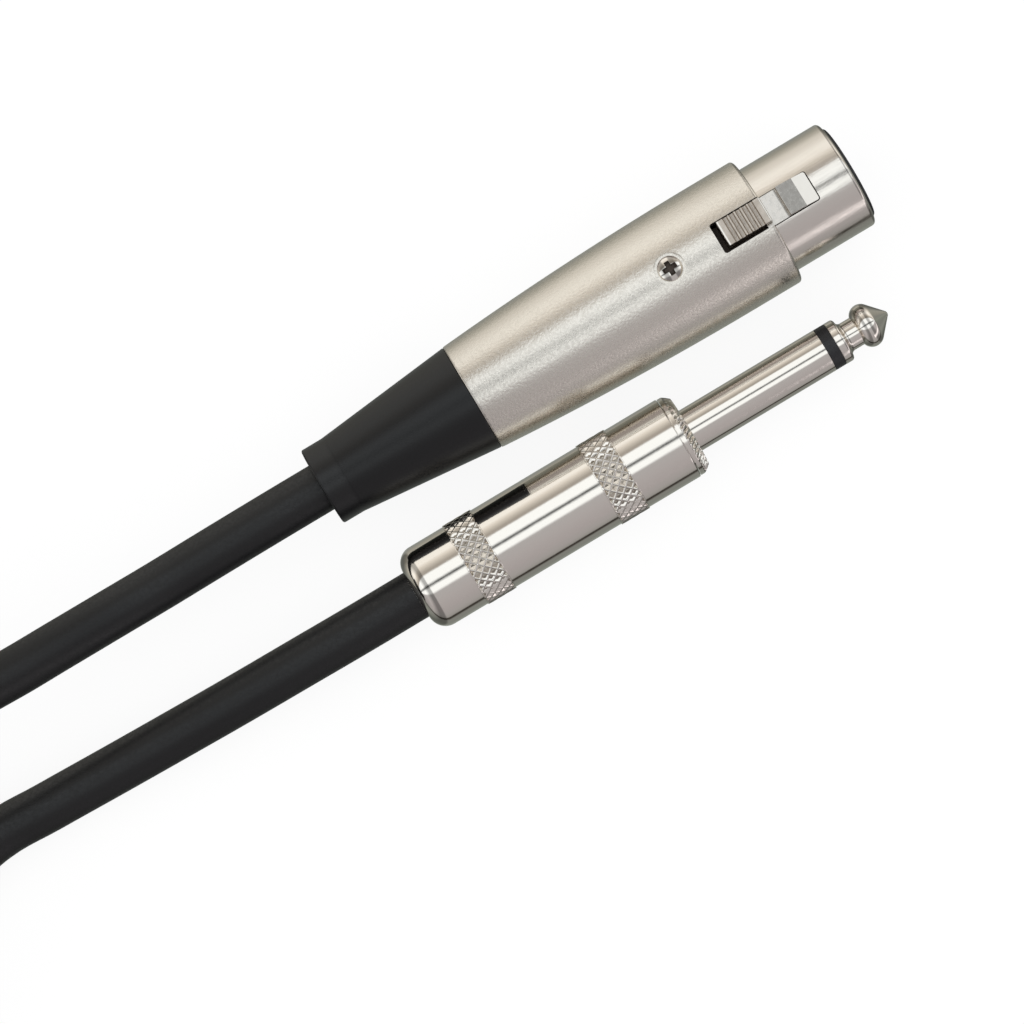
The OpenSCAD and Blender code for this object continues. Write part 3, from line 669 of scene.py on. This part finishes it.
# --- XLR connector: stations along its axis, heights above it and radii, in mm ---
BOOT_LEN = 23.9
SHELL_FRONT = 70.9
SHELL_R = 9.525
SHELL_TAPER = 1.58
TAPER_END = 63.9
SHELL_WALL = 1.3
NOSE_R = 7.95
NOSE_BORE_R = 6.95
NOSE_REAR = 50.0
NOSE_FRONT = 83.6
SEAT_GAP = 0.05
INSERT_R = 6.9
INSERT_FRONT = 84.05
SLOT_W = 4.56
SLOT_REAR = 63.15
WINDOW_FRONT = 78.15
SCREW_AT = 55.7
COUNTERBORE_R = 2.2
SCREW_HOLE_R = 1.05

PIN_AT = 61.0
PIN_RISE = 5.0
PIN_HOLE_R = 0.64
HUB_R = 1.3
ARM_W = 4.0
ARM_UNDER = 4.9
ARM_TOP = 6.2
RISER_T = 0.9
PAD_W = 3.7
PAD_SHIFT = 0.24
PAD_REAR = 64.1
PLATE_W = 4.36
PLATE_TOP = 7.8
PLATE_T = 1.1
PLATE_FRONT = 78.02
HOOK_AT = 73.4
HOOK_H = 1.15
# The pressing is painted dark, as shade, below this height under the pad, and worn bright up to this
# station.
SHADE_BELOW = 8.2
WORN_FRONT = 76.2

SPRING_AT = 67.45
SPRING_FOOT = 1.98
SPRING_R = 1.0
SPRING_WIRE_R = 0.2
SPRING_TURNS = 4


def shell_radius(z):
    """Outer radius of the shell, which tapers ever faster towards the boot."""
    behind = max(TAPER_END - z, 0) / (TAPER_END - BOOT_LEN)
    return SHELL_R - SHELL_TAPER * behind ** 2


SCREW_SEAT = shell_radius(SCREW_AT) - 0.75


def screw_hole():
    """Counterbore and shank hole of the shell screw."""
    return [
        upright(rod(COUNTERBORE_R, SCREW_SEAT, SHELL_R + 1, 96), SCREW_AT, 0),
        upright(rod(SCREW_HOLE_R, 0, SHELL_R), SCREW_AT, 0),
    ]


def xlr_shell():
    """Die-cast handle: bulged taper, slot for the thumb pad, counterbore for the screw."""
    edge, rear_edge = 0.5, 0.18
    seat_r, seat_rear, cavity_front = NOSE_R + SEAT_GAP, NOSE_REAR - SEAT_GAP, NOSE_REAR - 1.5
    profile = arc((shell_radius(BOOT_LEN) - rear_edge, BOOT_LEN + rear_edge), rear_edge, -90, -8, 5)
    profile += [(shell_radius(z), z) for z in spaced(BOOT_LEN + 0.3, TAPER_END, 44)]
    profile += arc((SHELL_R - edge, SHELL_FRONT - edge), edge, 0, 90)
    profile += [(seat_r, SHELL_FRONT), (seat_r, seat_rear)]
    profile += [(NOSE_BORE_R, seat_rear), (NOSE_BORE_R, cavity_front)]
    profile += [(shell_radius(z) - SHELL_WALL, z) for z in spaced(cavity_front, BOOT_LEN, 12)]
    slot = plan(rounded(SLOT_W, SLOT_REAR, SHELL_FRONT + 1, 0.35, round_front=False), 0, SHELL_R + 1)
    made = shaped("xlr_shell_cast", lathe(profile, 256, closed=True), cuts=[slot] + screw_hole(),
                  bevel=0.12)
    fit(made, ON_XLR, "satin_nickel", "xlr_shell")


def xlr_nose():
    """Plated tube that enters the mating connector, with the latch's window in its top."""
    edge = 0.6
    profile = [(NOSE_BORE_R, NOSE_REAR), (NOSE_R, NOSE_REAR)]
    profile += arc((NOSE_R - edge, NOSE_FRONT - edge), edge, 0, 90)
    profile.append((NOSE_BORE_R, NOSE_FRONT))
    window = plan(rounded(SLOT_W, SLOT_REAR, WINDOW_FRONT, 0.4, round_rear=False), 0, NOSE_R + 1)
    made = shaped("xlr_nose_tube", lathe(profile, 256, closed=True), cuts=[window] + screw_hole(),
                  bevel=0.08)
    fit(made, ON_XLR, "satin_nickel", "xlr_nose", material=NOSE_NICKEL)


CONTACT_SPOTS = [(3.81, 1.11), (-3.81, 1.11), (0.0, -3.97)]


def contact_entry(x, y, face):
    """Bore for one contact, with a smaller flared entry hole in the face."""
    bore_r, entry_r, flare_r, rear, shoulder = 1.65, 1.45, 2.0, NOSE_REAR - 1, 82.2
    bore = lathe([
        (0, rear), (bore_r, rear), (bore_r, shoulder), (entry_r, shoulder), (entry_r, face - 0.5),
        (flare_r, face + 0.05), (flare_r, face + 1), (0, face + 1)], 64)
    bore.transform(Matrix.Translation((x, y, 0)))
    return bore


def xlr_insert():
    """Moulded contact carrier, its rim just proud of the nose, with three flared entries."""
    edge, rim_r, face, above = 0.35, 6.0, INSERT_FRONT - 0.2, 8.5
    profile = [(0, NOSE_REAR + 0.5), (INSERT_R, NOSE_REAR + 0.5)]
    profile += arc((INSERT_R - edge, INSERT_FRONT - edge), edge, 0, 90, 8)
    profile += [(rim_r, INSERT_FRONT), (rim_r - 0.15, face), (0, face)]
    arm_pocket = slab(oblong(59.3, SHELL_FRONT + 0.6, 3.38, above), ARM_W + 0.64)
    plate_channel = slab(oblong(SHELL_FRONT, WINDOW_FRONT + 0.15, 4.8, above), SLOT_W + 0.2)
    spring_hole = upright(rod(SPRING_R + SPRING_WIRE_R + 0.15, SPRING_FOOT, above), SPRING_AT, 0)
    screw_pocket = upright(rod(SCREW_HOLE_R + 0.1, 5.45, above), SCREW_AT, 0)
    cuts = [arm_pocket, plate_channel, spring_hole, screw_pocket]
    cuts += [contact_entry(x, y, face) for x, y in CONTACT_SPOTS]
    made = shaped("xlr_contact_carrier", lathe(profile, 160), cuts=cuts, bevel=0.05)
    fit(made, ON_XLR, "insert_nylon", "xlr_insert")


def thumb_pad_outline():
    """Side outline of the pad: a rounded block with five round-bottomed grooves."""
    front, top, foot = SHELL_FRONT, SHELL_R + 0.05, 5.9
    rear_round, front_round, grooves, land = 0.35, 0.25, 5, 0.9
    pitch = (front - PAD_REAR - 2 * land) / grooves
    points = [(PAD_REAR, foot)]
    points += arc((PAD_REAR + rear_round, top - rear_round), rear_round, 180, 90, 5)
    for i in range(grooves):
        points += arc((PAD_REAR + land + pitch * (i + 0.5), top), pitch * 0.36, 180, 360, 10)
    points += arc((front - front_round, top - front_round), front_round, 90, 0, 5)
    return points + [(front, foot)]


def latch_plate_outline():
    """Side outline in front of the pad: flat plate, upright hook and lead-in ramp."""
    rear, foot, hook_top = SHELL_FRONT - RISER_T, PLATE_TOP - PLATE_T, PLATE_TOP + HOOK_H
    return [
        (rear, foot), (PLATE_FRONT - 0.4, foot), (PLATE_FRONT, foot + 0.4),
        (PLATE_FRONT, PLATE_TOP), (HOOK_AT + 2.6, hook_top - 0.42), (HOOK_AT + 0.4, hook_top),
        (HOOK_AT + 0.12, hook_top - 0.07), (HOOK_AT, hook_top - 0.3),
        (HOOK_AT - 0.12, PLATE_TOP + 0.06), (HOOK_AT - 0.3, PLATE_TOP), (rear, PLATE_TOP)]


def latch_plate():
    """Plate and hook, with the plate's front corners rounded as seen from above."""
    behind, below, above = 60.0, 6.0, 10.0
    corners = plan(rounded(PLATE_W, behind, PLATE_FRONT, 0.34, round_rear=False), below, above)
    plate = shaped("latch_plate", slab(latch_plate_outline(), PLATE_W), keeps=[corners])
    solid = bmesh.new()
    solid.from_mesh(plate.data)
    bpy.data.objects.remove(plate)
    return solid


def latch_lever():
    """Rocking latch in one pressing: hub and arm, grooved pad, flat plate and hook."""
    arm = arc((PIN_AT, PIN_RISE), HUB_R, 66, 336, 24)
    arm += [(SHELL_FRONT, ARM_UNDER), (SHELL_FRONT, ARM_TOP)]
    riser = oblong(SHELL_FRONT - RISER_T, SHELL_FRONT, ARM_UNDER, PLATE_TOP - 0.3)
    pin_bore = rod(PIN_HOLE_R, -3, 3)
    pin_bore.transform(
        Matrix.Translation((0, PIN_RISE, PIN_AT)) @ Matrix.Rotation(math.pi / 2, 4, "Y"))
    pad = slab(thumb_pad_outline(), PAD_W)
    pad.transform(Matrix.Translation((PAD_SHIFT, 0, 0)))
    made = shaped(
        "latch_pressing", slab(arm, ARM_W), joins=[slab(riser, ARM_W), pad, latch_plate()],
        cuts=[pin_bore], bevel=0.07)
    rib_rear, rib_front = PAD_REAR + 0.6, SHELL_FRONT - 0.5
    # Painted shade: faces of the pressing low in the well, behind the shell's front, get the dark shade
    # metal.
    painted_shade_faces = faces_where(made, lambda c: c.y < SHADE_BELOW and c.z < SHELL_FRONT)
    flat = faces_where(made, lambda c: SHELL_FRONT <= c.z < WORN_FRONT)
    ribs = faces_where(made, lambda c: c.y >= SHADE_BELOW and rib_rear < c.z < rib_front)
    fit(made, ON_XLR, "polished_nickel", "latch_lever", body="latch")
    finish(made, painted_shade_faces, PAINTED_SHADE_METAL)
    finish(made, flat, WORN_NICKEL)
    finish(made, ribs, PAD_NICKEL)


def spring():
    """Compression spring under the pad, in its blind hole in the carrier."""
    steps, sides = 20 * SPRING_TURNS, 10
    room = SPRING_WIRE_R + 0.03
    foot, head = SPRING_FOOT + room, ARM_UNDER - room
    bm = bmesh.new()
    rings = []
    for share in spaced(0, 1, steps):
        a = 2 * math.pi * SPRING_TURNS * share
        height = foot + (head - foot) * (0.5 * ease(share) + 0.5 * share)
        out = Vector((math.cos(a), 0, math.sin(a)))
        middle = Vector((0, height, SPRING_AT)) + SPRING_R * out
        rings.append([
            bm.verts.new(middle + SPRING_WIRE_R * (out * math.cos(t) + Vector((0, math.sin(t), 0))))
            for t in (2 * math.pi * k / sides for k in range(sides))])
    made = fit(as_object(skin(bm, rings), "latch_return_spring"), ON_XLR, "steel", "latch_spring",
               sharp=40)
    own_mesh(made)


def shell_screw():
    """Domed cross-head screw in its counterbore."""
    shank_r, shank_len, head_r, dome_r, dome_low = 1.0, 3.1, 1.75, 3.2, 2.55
    profile = [(0, -shank_len), (shank_r, -shank_len), (shank_r, 0), (head_r, 0)]
    profile += arc((0, -dome_low), dome_r, 56.8, 90, 8)
    # Half length, half width and height of a cross slot at its mouth and at its floor.
    mouth, floor = (1.4, 0.43, 0.9), (0.72, 0.29, 0.05)
    cross = []
    for turn in (2, 92):
        arm = bmesh.new()
        skin(arm, [
            [arm.verts.new((end * long, side * half, height))
             for end, (long, half, height) in ((-1, mouth), (-1, floor), (1, floor), (1, mouth))]
            for side in (1, -1)])
        arm.transform(Matrix.Rotation(math.radians(turn), 4, "Z"))
        cross.append(arm)
    made = shaped("shell_cross_screw", lathe(profile, 96), cuts=cross, bevel=0.035)
    dome_middle = Vector((0, 0, -dome_low))
    # Painted shade: the faces down in the cross recess get the dark shade metal.
    recess = faces_where(made, lambda c: (
        c.z > 0.02 and c.xy.length < mouth[0] + 0.08 and (c - dome_middle).length < dome_r - 0.08))
    upright(made.data, SCREW_AT, SCREW_SEAT)
    fit(made, ON_XLR, "polished_nickel", "shell_screw")
    finish(made, recess, PAINTED_SHADE_METAL)


def xlr_boot():
    """Moulded strain relief: short collar, straight cone, spigot in the shell."""
    rear_r, collar, front_r = 5.75, 3.5, shell_radius(BOOT_LEN) - 0.08
    rear_round, front_round, mouth_r, bore_r = 0.3, 0.15, 4.3, 3.6
    spigot_r, spigot_front = 6.495, 31.5
    slope = math.degrees(math.atan2(front_r - rear_r, BOOT_LEN - collar))
    profile = [(mouth_r, 0)] + arc((rear_r - rear_round, rear_round), rear_round, -90, 0, 6)
    profile += [(rear_r, collar - 0.3), (rear_r + 0.02, collar), (rear_r + 0.06, collar + 0.3)]
    profile += arc((front_r - front_round, BOOT_LEN - front_round), front_round, -slope, 90, 5)
    profile += [(spigot_r, BOOT_LEN), (spigot_r, spigot_front), (bore_r, spigot_front)]
    profile.append((bore_r, collar))
    fit(as_object(lathe(profile, 192, closed=True), "xlr_strain_relief"), ON_XLR, "boot_rubber",
        "xlr_boot", sharp=35)


# --- Jack plug: stations along its axis and radii, in mm ---
BARREL_LEN = 42.4
BARREL_R = 6.1
BARREL_BORE_R = 5.1
FLANGE_FRONT = 44.2
FLANGE_R = 6.0
PLUG_R = 3.175
SLEEVE_FRONT = 65.8
RING_FRONT = 67.4
COLLAR_FRONT = 68.8
PLUG_FRONT = 75.4

BAND_R = 6.25
BAND_LEN = 4.45
BANDS_AT = (8.4, 29.7)
KNURLS_ROUND = 28
KNURLS_ALONG = 3
KNURL_STEPS = 16
KNURL_RIM = 0.14
KNURL_DEPTH = 0.48
KNURL_LAND = 0.12

# Slanted saw teeth on the flange's bevel, which is turned down to BEVEL_R at the front.
BEVEL_REAR = FLANGE_FRONT - 1.15
BEVEL_R = 5.05
SERRATIONS = 44
SERRATION_STEPS = 8
SERRATION_DEPTH = 0.42
SERRATION_SLANT = 0.9


def knurl(angle, z, r):
    """Depth of the diamond knurl: narrow crossed ridges with pyramid pits between them."""
    if r < BAND_R - 0.01:
        return 0
    pitch = (BAND_LEN - 2 * KNURL_RIM) / KNURLS_ALONG
    for start in BANDS_AT:
        along = (z - start - KNURL_RIM) / pitch
        if 0.02 < along < KNURLS_ALONG - 0.02:
            round_it = angle / (2 * math.pi) * KNURLS_ROUND
            ridges = [abs(2 * ((round_it + side * along) % 1) - 1) for side in (1, -1)]
            return KNURL_DEPTH * max(0, 1 - max(ridges) - KNURL_LAND) / (1 - KNURL_LAND)
    return 0


def jack_barrel():
    """Turned cover with two diamond-knurled bands and a rounded rear edge."""
    rear, mouth_r, rear_round, front_round, floor = 0.55, 3.7, 2.5, 0.15, 2.4
    steps = KNURLS_ALONG * KNURL_STEPS
    profile = [(mouth_r, rear)]
    profile += arc((BARREL_R - rear_round, rear + rear_round), rear_round, -90, 0, 24)
    for start in BANDS_AT:
        end = start + BAND_LEN
        profile += [(BARREL_R, start - 0.02), (BAND_R - 0.02, start), (BAND_R, start + 0.03)]
        profile += [(BAND_R, z) for z in spaced(start + KNURL_RIM, end - KNURL_RIM, steps)]
        profile += [(BAND_R, end - 0.03), (BAND_R - 0.02, end), (BARREL_R, end + 0.02)]
    profile += arc((BARREL_R - front_round, BARREL_LEN - front_round), front_round, 0, 90, 5)
    profile += [(BARREL_BORE_R, BARREL_LEN), (BARREL_BORE_R, floor), (mouth_r, floor)]
    body = lathe(profile, KNURLS_ROUND * KNURL_STEPS, closed=True, carve=knurl)
    fit(as_object(body, "jack_cover"), ON_JACK, "polished_nickel", "jack_barrel", sharp=30)


def serration(angle, z, r):
    """Depth of the saw teeth: each rises slowly, falls steeply and runs out at the rear."""
    if r < 4.9 or not BEVEL_REAR < z <= FLANGE_FRONT:
        return 0
    along = (z - BEVEL_REAR) / (FLANGE_FRONT - BEVEL_REAR)
    tooth = (angle / (2 * math.pi) * SERRATIONS + SERRATION_SLANT * along) % 1
    return SERRATION_DEPTH * min(1, along * 3) * (tooth if tooth < 0.82 else (1 - tooth) * 4.5)


def jack_sleeve():
    """Plug body in one turning: threaded stub, serrated flange and sleeve."""
    bore_r, stub_r, stub_rear, flange_rear = 1.85, 5.05, 37.0, BARREL_LEN + 0.12
    profile = [(bore_r, stub_rear), (stub_r, stub_rear), (stub_r, flange_rear)]
    profile += [(FLANGE_R, flange_rear), (FLANGE_R, BEVEL_REAR - 0.02)]
    profile += [
        (FLANGE_R - 0.8 * share ** 1.5, BEVEL_REAR + 0.01 + 1.12 * share)
        for share in spaced(0, 1, 8)]
    profile += [(BEVEL_R, FLANGE_FRONT), (PLUG_R + 0.1, FLANGE_FRONT), (PLUG_R, FLANGE_FRONT + 0.1)]
    profile += [(PLUG_R, SLEEVE_FRONT - 0.05), (PLUG_R - 0.05, SLEEVE_FRONT), (bore_r, SLEEVE_FRONT)]
    body = lathe(profile, SERRATIONS * SERRATION_STEPS, closed=True, carve=serration)
    fit(as_object(body, "jack_body"), ON_JACK, "polished_nickel", "jack_sleeve", sharp=30)


def jack_ring():
    """Black insulator between sleeve and tip."""
    bore_r, r, edge = 1.25, PLUG_R - 0.01, 0.05
    profile = [(bore_r, SLEEVE_FRONT), (r - edge, SLEEVE_FRONT), (r, SLEEVE_FRONT + edge)]
    profile += [(r, RING_FRONT - edge), (r - edge, RING_FRONT), (bore_r, RING_FRONT)]
    fit(as_object(lathe(profile, 160, closed=True), "jack_black_ring"), ON_JACK, "insert_nylon",
        "jack_insulator_ring", sharp=35)


def jack_tip():
    """Turned tip: collar, scooped neck, ball and blunt cone, with its rod."""
    neck_r, ball_r, rod_r, foot_r = 2.1, 1.62, 1.2, 1.6
    rod_rear, foot_front = 34.4, 34.9
    collar_edge, shoulder_r, apex, apex_r = 0.1, 0.45, PLUG_FRONT + 0.4, 0.6
    scoop_r = PLUG_R - shoulder_r - neck_r
    ball = (PLUG_R - ball_r, PLUG_FRONT - 2.95)
    ball_start = -math.degrees(math.acos((neck_r - ball[0]) / ball_r))
    profile = [(0, rod_rear), (foot_r, rod_rear), (foot_r, foot_front), (rod_r, foot_front)]
    profile.append((rod_r, RING_FRONT))
    profile += arc((PLUG_R - collar_edge, RING_FRONT + collar_edge), collar_edge, -90, 0, 5)
    profile += arc((PLUG_R - shoulder_r, COLLAR_FRONT - shoulder_r), shoulder_r, 0, 90, 8)
    profile += arc((neck_r + scoop_r, COLLAR_FRONT + scoop_r), scoop_r, 270, 180, 12)
    profile += arc(ball, ball_r, ball_start, 50, 28)
    profile += arc((0, apex - apex_r), apex_r, 42, 90, 8)
    fit(as_object(lathe(profile, 160), "jack_tip_turned"), ON_JACK, "polished_nickel", "jack_tip",
        sharp=35)


def coil_tie():
    """Hook-and-loop strap round the hank's waist, closed on itself on top, its edges soft."""
    low, high = (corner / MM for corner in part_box("coil_tie"))
    half_w, half_t, r, edge = (high.x - low.x) / 2, TIE_T / 2, 3.0, 0.22
    left, right = low.y + half_t, high.y - half_t
    bed, top, lap_z = half_t, high.z - TIE_T - half_t, high.z - half_t
    lap = 0.3 * (right - left)
    climb_from, climb_len = -lap - 7, 6.5
    path = [(-lap, top)]
    for y, z, start in (
            (right - r, top - r, 90), (right - r, bed + r, 0), (left + r, bed + r, -90),
            (left + r, top - r, -180)):
        path += arc((y, z), r, start, start - 90, 8)
    path += [
        (climb_from + climb_len * share, top + (lap_z - top) * ease(share))
        for share in spaced(0, 1, 8)]
    path = held(path + [(lap, lap_z)], False, near=0.8)
    outline = []
    for side_x, side_n in ((-1, -1), (-1, 1), (1, 1), (1, -1)):
        ends = [(half_w * side_x, (half_t - edge) * side_n), ((half_w - edge) * side_x, half_t * side_n)]
        outline += ends[::-1] if side_x == side_n else ends
    bm = bmesh.new()
    middle = (low.x + high.x) / 2
    rings = []
    for i, (y, z) in enumerate(path):
        (y0, z0), (y1, z1) = path[max(i - 1, 0)], path[min(i + 1, len(path) - 1)]
        out = Vector((0, z1 - z0, y0 - y1)).normalized()
        rings.append([bm.verts.new(Vector((middle + x, y, z)) + out * n) for x, n in outline])
    return fit(as_object(skin(bm, rings), "coil_strap"), Matrix.Scale(MM, 4), "tie_fabric",
               "coil_tie", sharp=50)


xlr_shell()
xlr_nose()
xlr_insert()
latch_lever()
spring()
shell_screw()
xlr_boot()
jack_barrel()
jack_sleeve()
jack_ring()
jack_tip()
strap = coil_tie()

# --- Floor, light and surroundings ---
FLOOR_HALF = 2.0
FLOOR_DROP = 0.00005
# What the camera sees of the floor: a glow, and a little reflected light that shadows take away.
PAPER_SHADE = 0.13
PAPER_GLOW = 0.89
# What the floor throws back at the lead.
PAPER_BOUNCE = "#B4B6AA"


def make_floor():
    """Pale floor that keeps the shadow. The metals mirror the studio's own strips in its place."""
    h = FLOOR_HALF
    mesh = bpy.data.meshes.new("floor")
    mesh.from_pydata([(-h, -h, 0), (h, -h, 0), (h, h, 0), (-h, h, 0)], [], [(0, 1, 2, 3)])
    floor = bpy.data.objects.new("floor", mesh)
    floor.location = (0, 0, -FLOOR_DROP)
    floor.visible_glossy = False
    bpy.context.collection.objects.link(floor)
    material = bpy.data.materials.new("floor_paper")
    material.use_nodes = True
    tree = material.node_tree
    tree.nodes.clear()
    rays = add(tree, "LightPath")
    paper = add(tree, "BsdfDiffuse", {"Color": (PAPER_SHADE, PAPER_SHADE, PAPER_SHADE, 1)})
    glow = add(tree, "Emission", {"Color": (1, 1, 1, 1), "Strength": PAPER_GLOW})
    seen = add(tree, "AddShader", {0: paper.outputs["BSDF"], 1: glow.outputs["Emission"]})
    bounce = add(tree, "BsdfDiffuse", {"Color": linear(PAPER_BOUNCE)})
    surface = add(tree, "MixShader", {
        0: rays.outputs["Is Camera Ray"], 1: bounce.outputs["BSDF"], 2: seen.outputs["Shader"]})
    out = add(tree, "OutputMaterial")
    tree.links.new(surface.outputs["Shader"], out.inputs["Surface"])
    floor.data.materials.append(material)


# The studio as the metals mirror it: strips that run along X, each at its angle from straight
# up, positive towards +Y. White softbox overhead, cream panel towards +Y, lilac-grey card
# towards -Y, and past level the floor, which darkens under the lead.
STUDIO_STRIPS = [
    (-180, "#888D86"), (-146, "#777A76"), (-130, "#7A7C79"), (-123, "#36332F"), (-118, "#36332F"),
    (-114, "#8F8E8D"), (-102, "#9A9899"), (-80, "#A09C9E"), (-52, "#A6A3A5"), (-29, "#A8A7A9"),
    (-23, "#F7FCFF"), (24, "#F7FCFF"), (28.5, "#A09B95"), (33, "#9E9992"), (42, "#BEB9B1"),
    (50, "#D8D3CB"), (58, "#EEECE7"), (74, "#EDECE7"), (88, "#D8D5CF"), (100, "#D0CDC6"),
    (112, "#AEACA4"), (126, "#939289"), (144, "#828480"), (180, "#888D86"),
]
# How bright it is ahead and behind, by how far the mirrored direction leans along X.
STUDIO_ENDS = [(0.0, 1.0), (0.2, 1.0), (0.3, 0.45), (0.55, 0.45), (0.8, 1.1), (1.0, 0.85)]
STUDIO_STRENGTH = 1.35

# The dark seam between the two halves of the softbox: it wanders by SEAM_RAG to each side, is
# darkest within SEAM_CORE of its line and is gone at SEAM_EDGE. Angles in radians.
SEAM_AT = math.radians(-3.8)
SEAM_RAG = 0.08
SEAM_RAGS_PER_UNIT = 420.0
SEAM_CORE = 0.01
SEAM_EDGE = 0.12
SEAM_LEFT = 0.08

# A narrow strip lamp on the side of the grey card, mirrored only by what faces ahead of LAMP_X.
LAMP_AT = math.radians(-80)
LAMP_X = 0.0795
LAMP_X_SOFT = 0.002
LAMP_CORE = 0.05
LAMP_EDGE = 0.2
LAMP_STRENGTH = 2.0

# The room's soft light, from a little below level to straight up.
ROOM_LOW = -0.1
ROOM_DIM = 0.72
ROOM_BRIGHT = 1.12


def set_stops(ramp, stops):
    """Gives a colour ramp its (position, linear colour) stops, and gives back its colour."""
    elements = ramp.color_ramp.elements
    while len(elements) < len(stops):
        elements.new(0.5)
    for element, (position, colour) in zip(elements, stops):
        element.position = position
        element.color = colour
    return ramp.outputs["Color"]


def seam_level(tree, angle, lean):
    """How much light the seam leaves at an angle: all of it, but for a dark and ragged line."""
    along = add(tree, "Math", {0: lean, 1: SEAM_RAGS_PER_UNIT}, operation="MULTIPLY")
    torn = add(tree, "TexNoise", {"W": along.outputs["Value"], "Scale": 1.0, "Detail": 3.0},
               noise_dimensions="1D")
    line = add(tree, "MapRange", {
        "Value": torn.outputs["Fac"], "To Min": SEAM_AT - SEAM_RAG, "To Max": SEAM_AT + SEAM_RAG})
    off = add(tree, "Math", {0: angle, 1: line.outputs["Result"]}, operation="SUBTRACT")
    aside = add(tree, "Math", {0: off.outputs["Value"]}, operation="ABSOLUTE")
    seam = add(tree, "MapRange", {
        "Value": aside.outputs["Value"], "From Min": SEAM_CORE, "From Max": SEAM_EDGE,
        "To Min": SEAM_LEFT, "To Max": 1.0})
    return seam.outputs["Result"]


def lamp_level(tree, angle, lean):
    """Light of the strip lamp at an angle and a lean along X."""
    ahead = add(tree, "MapRange", {
        "Value": lean, "From Min": LAMP_X, "From Max": LAMP_X + LAMP_X_SOFT})
    off = add(tree, "Math", {0: angle, 1: LAMP_AT}, operation="SUBTRACT")
    aside = add(tree, "Math", {0: off.outputs["Value"]}, operation="ABSOLUTE")
    near = add(tree, "MapRange", {
        "Value": aside.outputs["Value"], "From Min": LAMP_CORE, "From Max": LAMP_EDGE,
        "To Min": 1.0, "To Max": 0.0})
    lamp = add(tree, "Math", {0: ahead.outputs["Result"], 1: near.outputs["Result"]},
               operation="MULTIPLY")
    lit = add(tree, "Math", {0: lamp.outputs["Value"], 1: LAMP_STRENGTH}, operation="MULTIPLY")
    return lit.outputs["Value"]


def make_studio():
    """Soft light from all sides. The metals mirror white and cream panels over dark gaps."""
    world = bpy.data.worlds.new("studio")
    world.use_nodes = True
    bpy.context.scene.world = world
    tree = world.node_tree
    tree.nodes.clear()
    rays = add(tree, "LightPath")
    heading = add(tree, "SeparateXYZ", {0: add(tree, "TexCoord").outputs["Generated"]})
    lean = heading.outputs["X"]
    angle = add(tree, "Math", {0: heading.outputs["Y"], 1: heading.outputs["Z"]},
                operation="ARCTAN2").outputs["Value"]
    share = add(tree, "MapRange", {"Value": angle, "From Min": -math.pi, "From Max": math.pi})
    strips = set_stops(add(tree, "ValToRGB", {"Fac": share.outputs["Result"]}), [
        ((degrees + 180) / 360, linear(hex_colour)) for degrees, hex_colour in STUDIO_STRIPS])
    sideways = add(tree, "Math", {0: lean}, operation="ABSOLUTE")
    ends = set_stops(add(tree, "ValToRGB", {"Fac": sideways.outputs["Value"]}), [
        (x, (v, v, v, 1)) for x, v in STUDIO_ENDS])
    dimmed = add(tree, "Math", {0: ends, 1: seam_level(tree, angle, lean)}, operation="MULTIPLY")
    level = add(tree, "Math", {0: dimmed.outputs["Value"], 1: lamp_level(tree, angle, lean)},
                operation="ADD")
    level = add(tree, "Math", {0: level.outputs["Value"], 1: STUDIO_STRENGTH}, operation="MULTIPLY")
    mirrored = add(tree, "Background", {"Color": strips, "Strength": level.outputs["Value"]})
    high = add(tree, "MapRange", {
        "Value": heading.outputs["Z"], "From Min": ROOM_LOW, "From Max": 1.0,
        "To Min": ROOM_DIM, "To Max": ROOM_BRIGHT})
    room = add(tree, "Background", {"Color": (1, 1, 1, 1), "Strength": high.outputs["Result"]})
    white = add(tree, "Background", {"Color": (1, 1, 1, 1), "Strength": 1.0})
    lit = add(tree, "MixShader", {
        0: rays.outputs["Is Glossy Ray"], 1: room.outputs["Background"],
        2: mirrored.outputs["Background"]})
    seen = add(tree, "MixShader", {
        0: rays.outputs["Is Camera Ray"], 1: lit.outputs["Shader"], 2: white.outputs["Background"]})
    out = add(tree, "OutputWorld")
    tree.links.new(seen.outputs["Shader"], out.inputs["Surface"])


make_floor()
make_studio()
bpy.context.scene.view_settings.view_transform = "Standard"
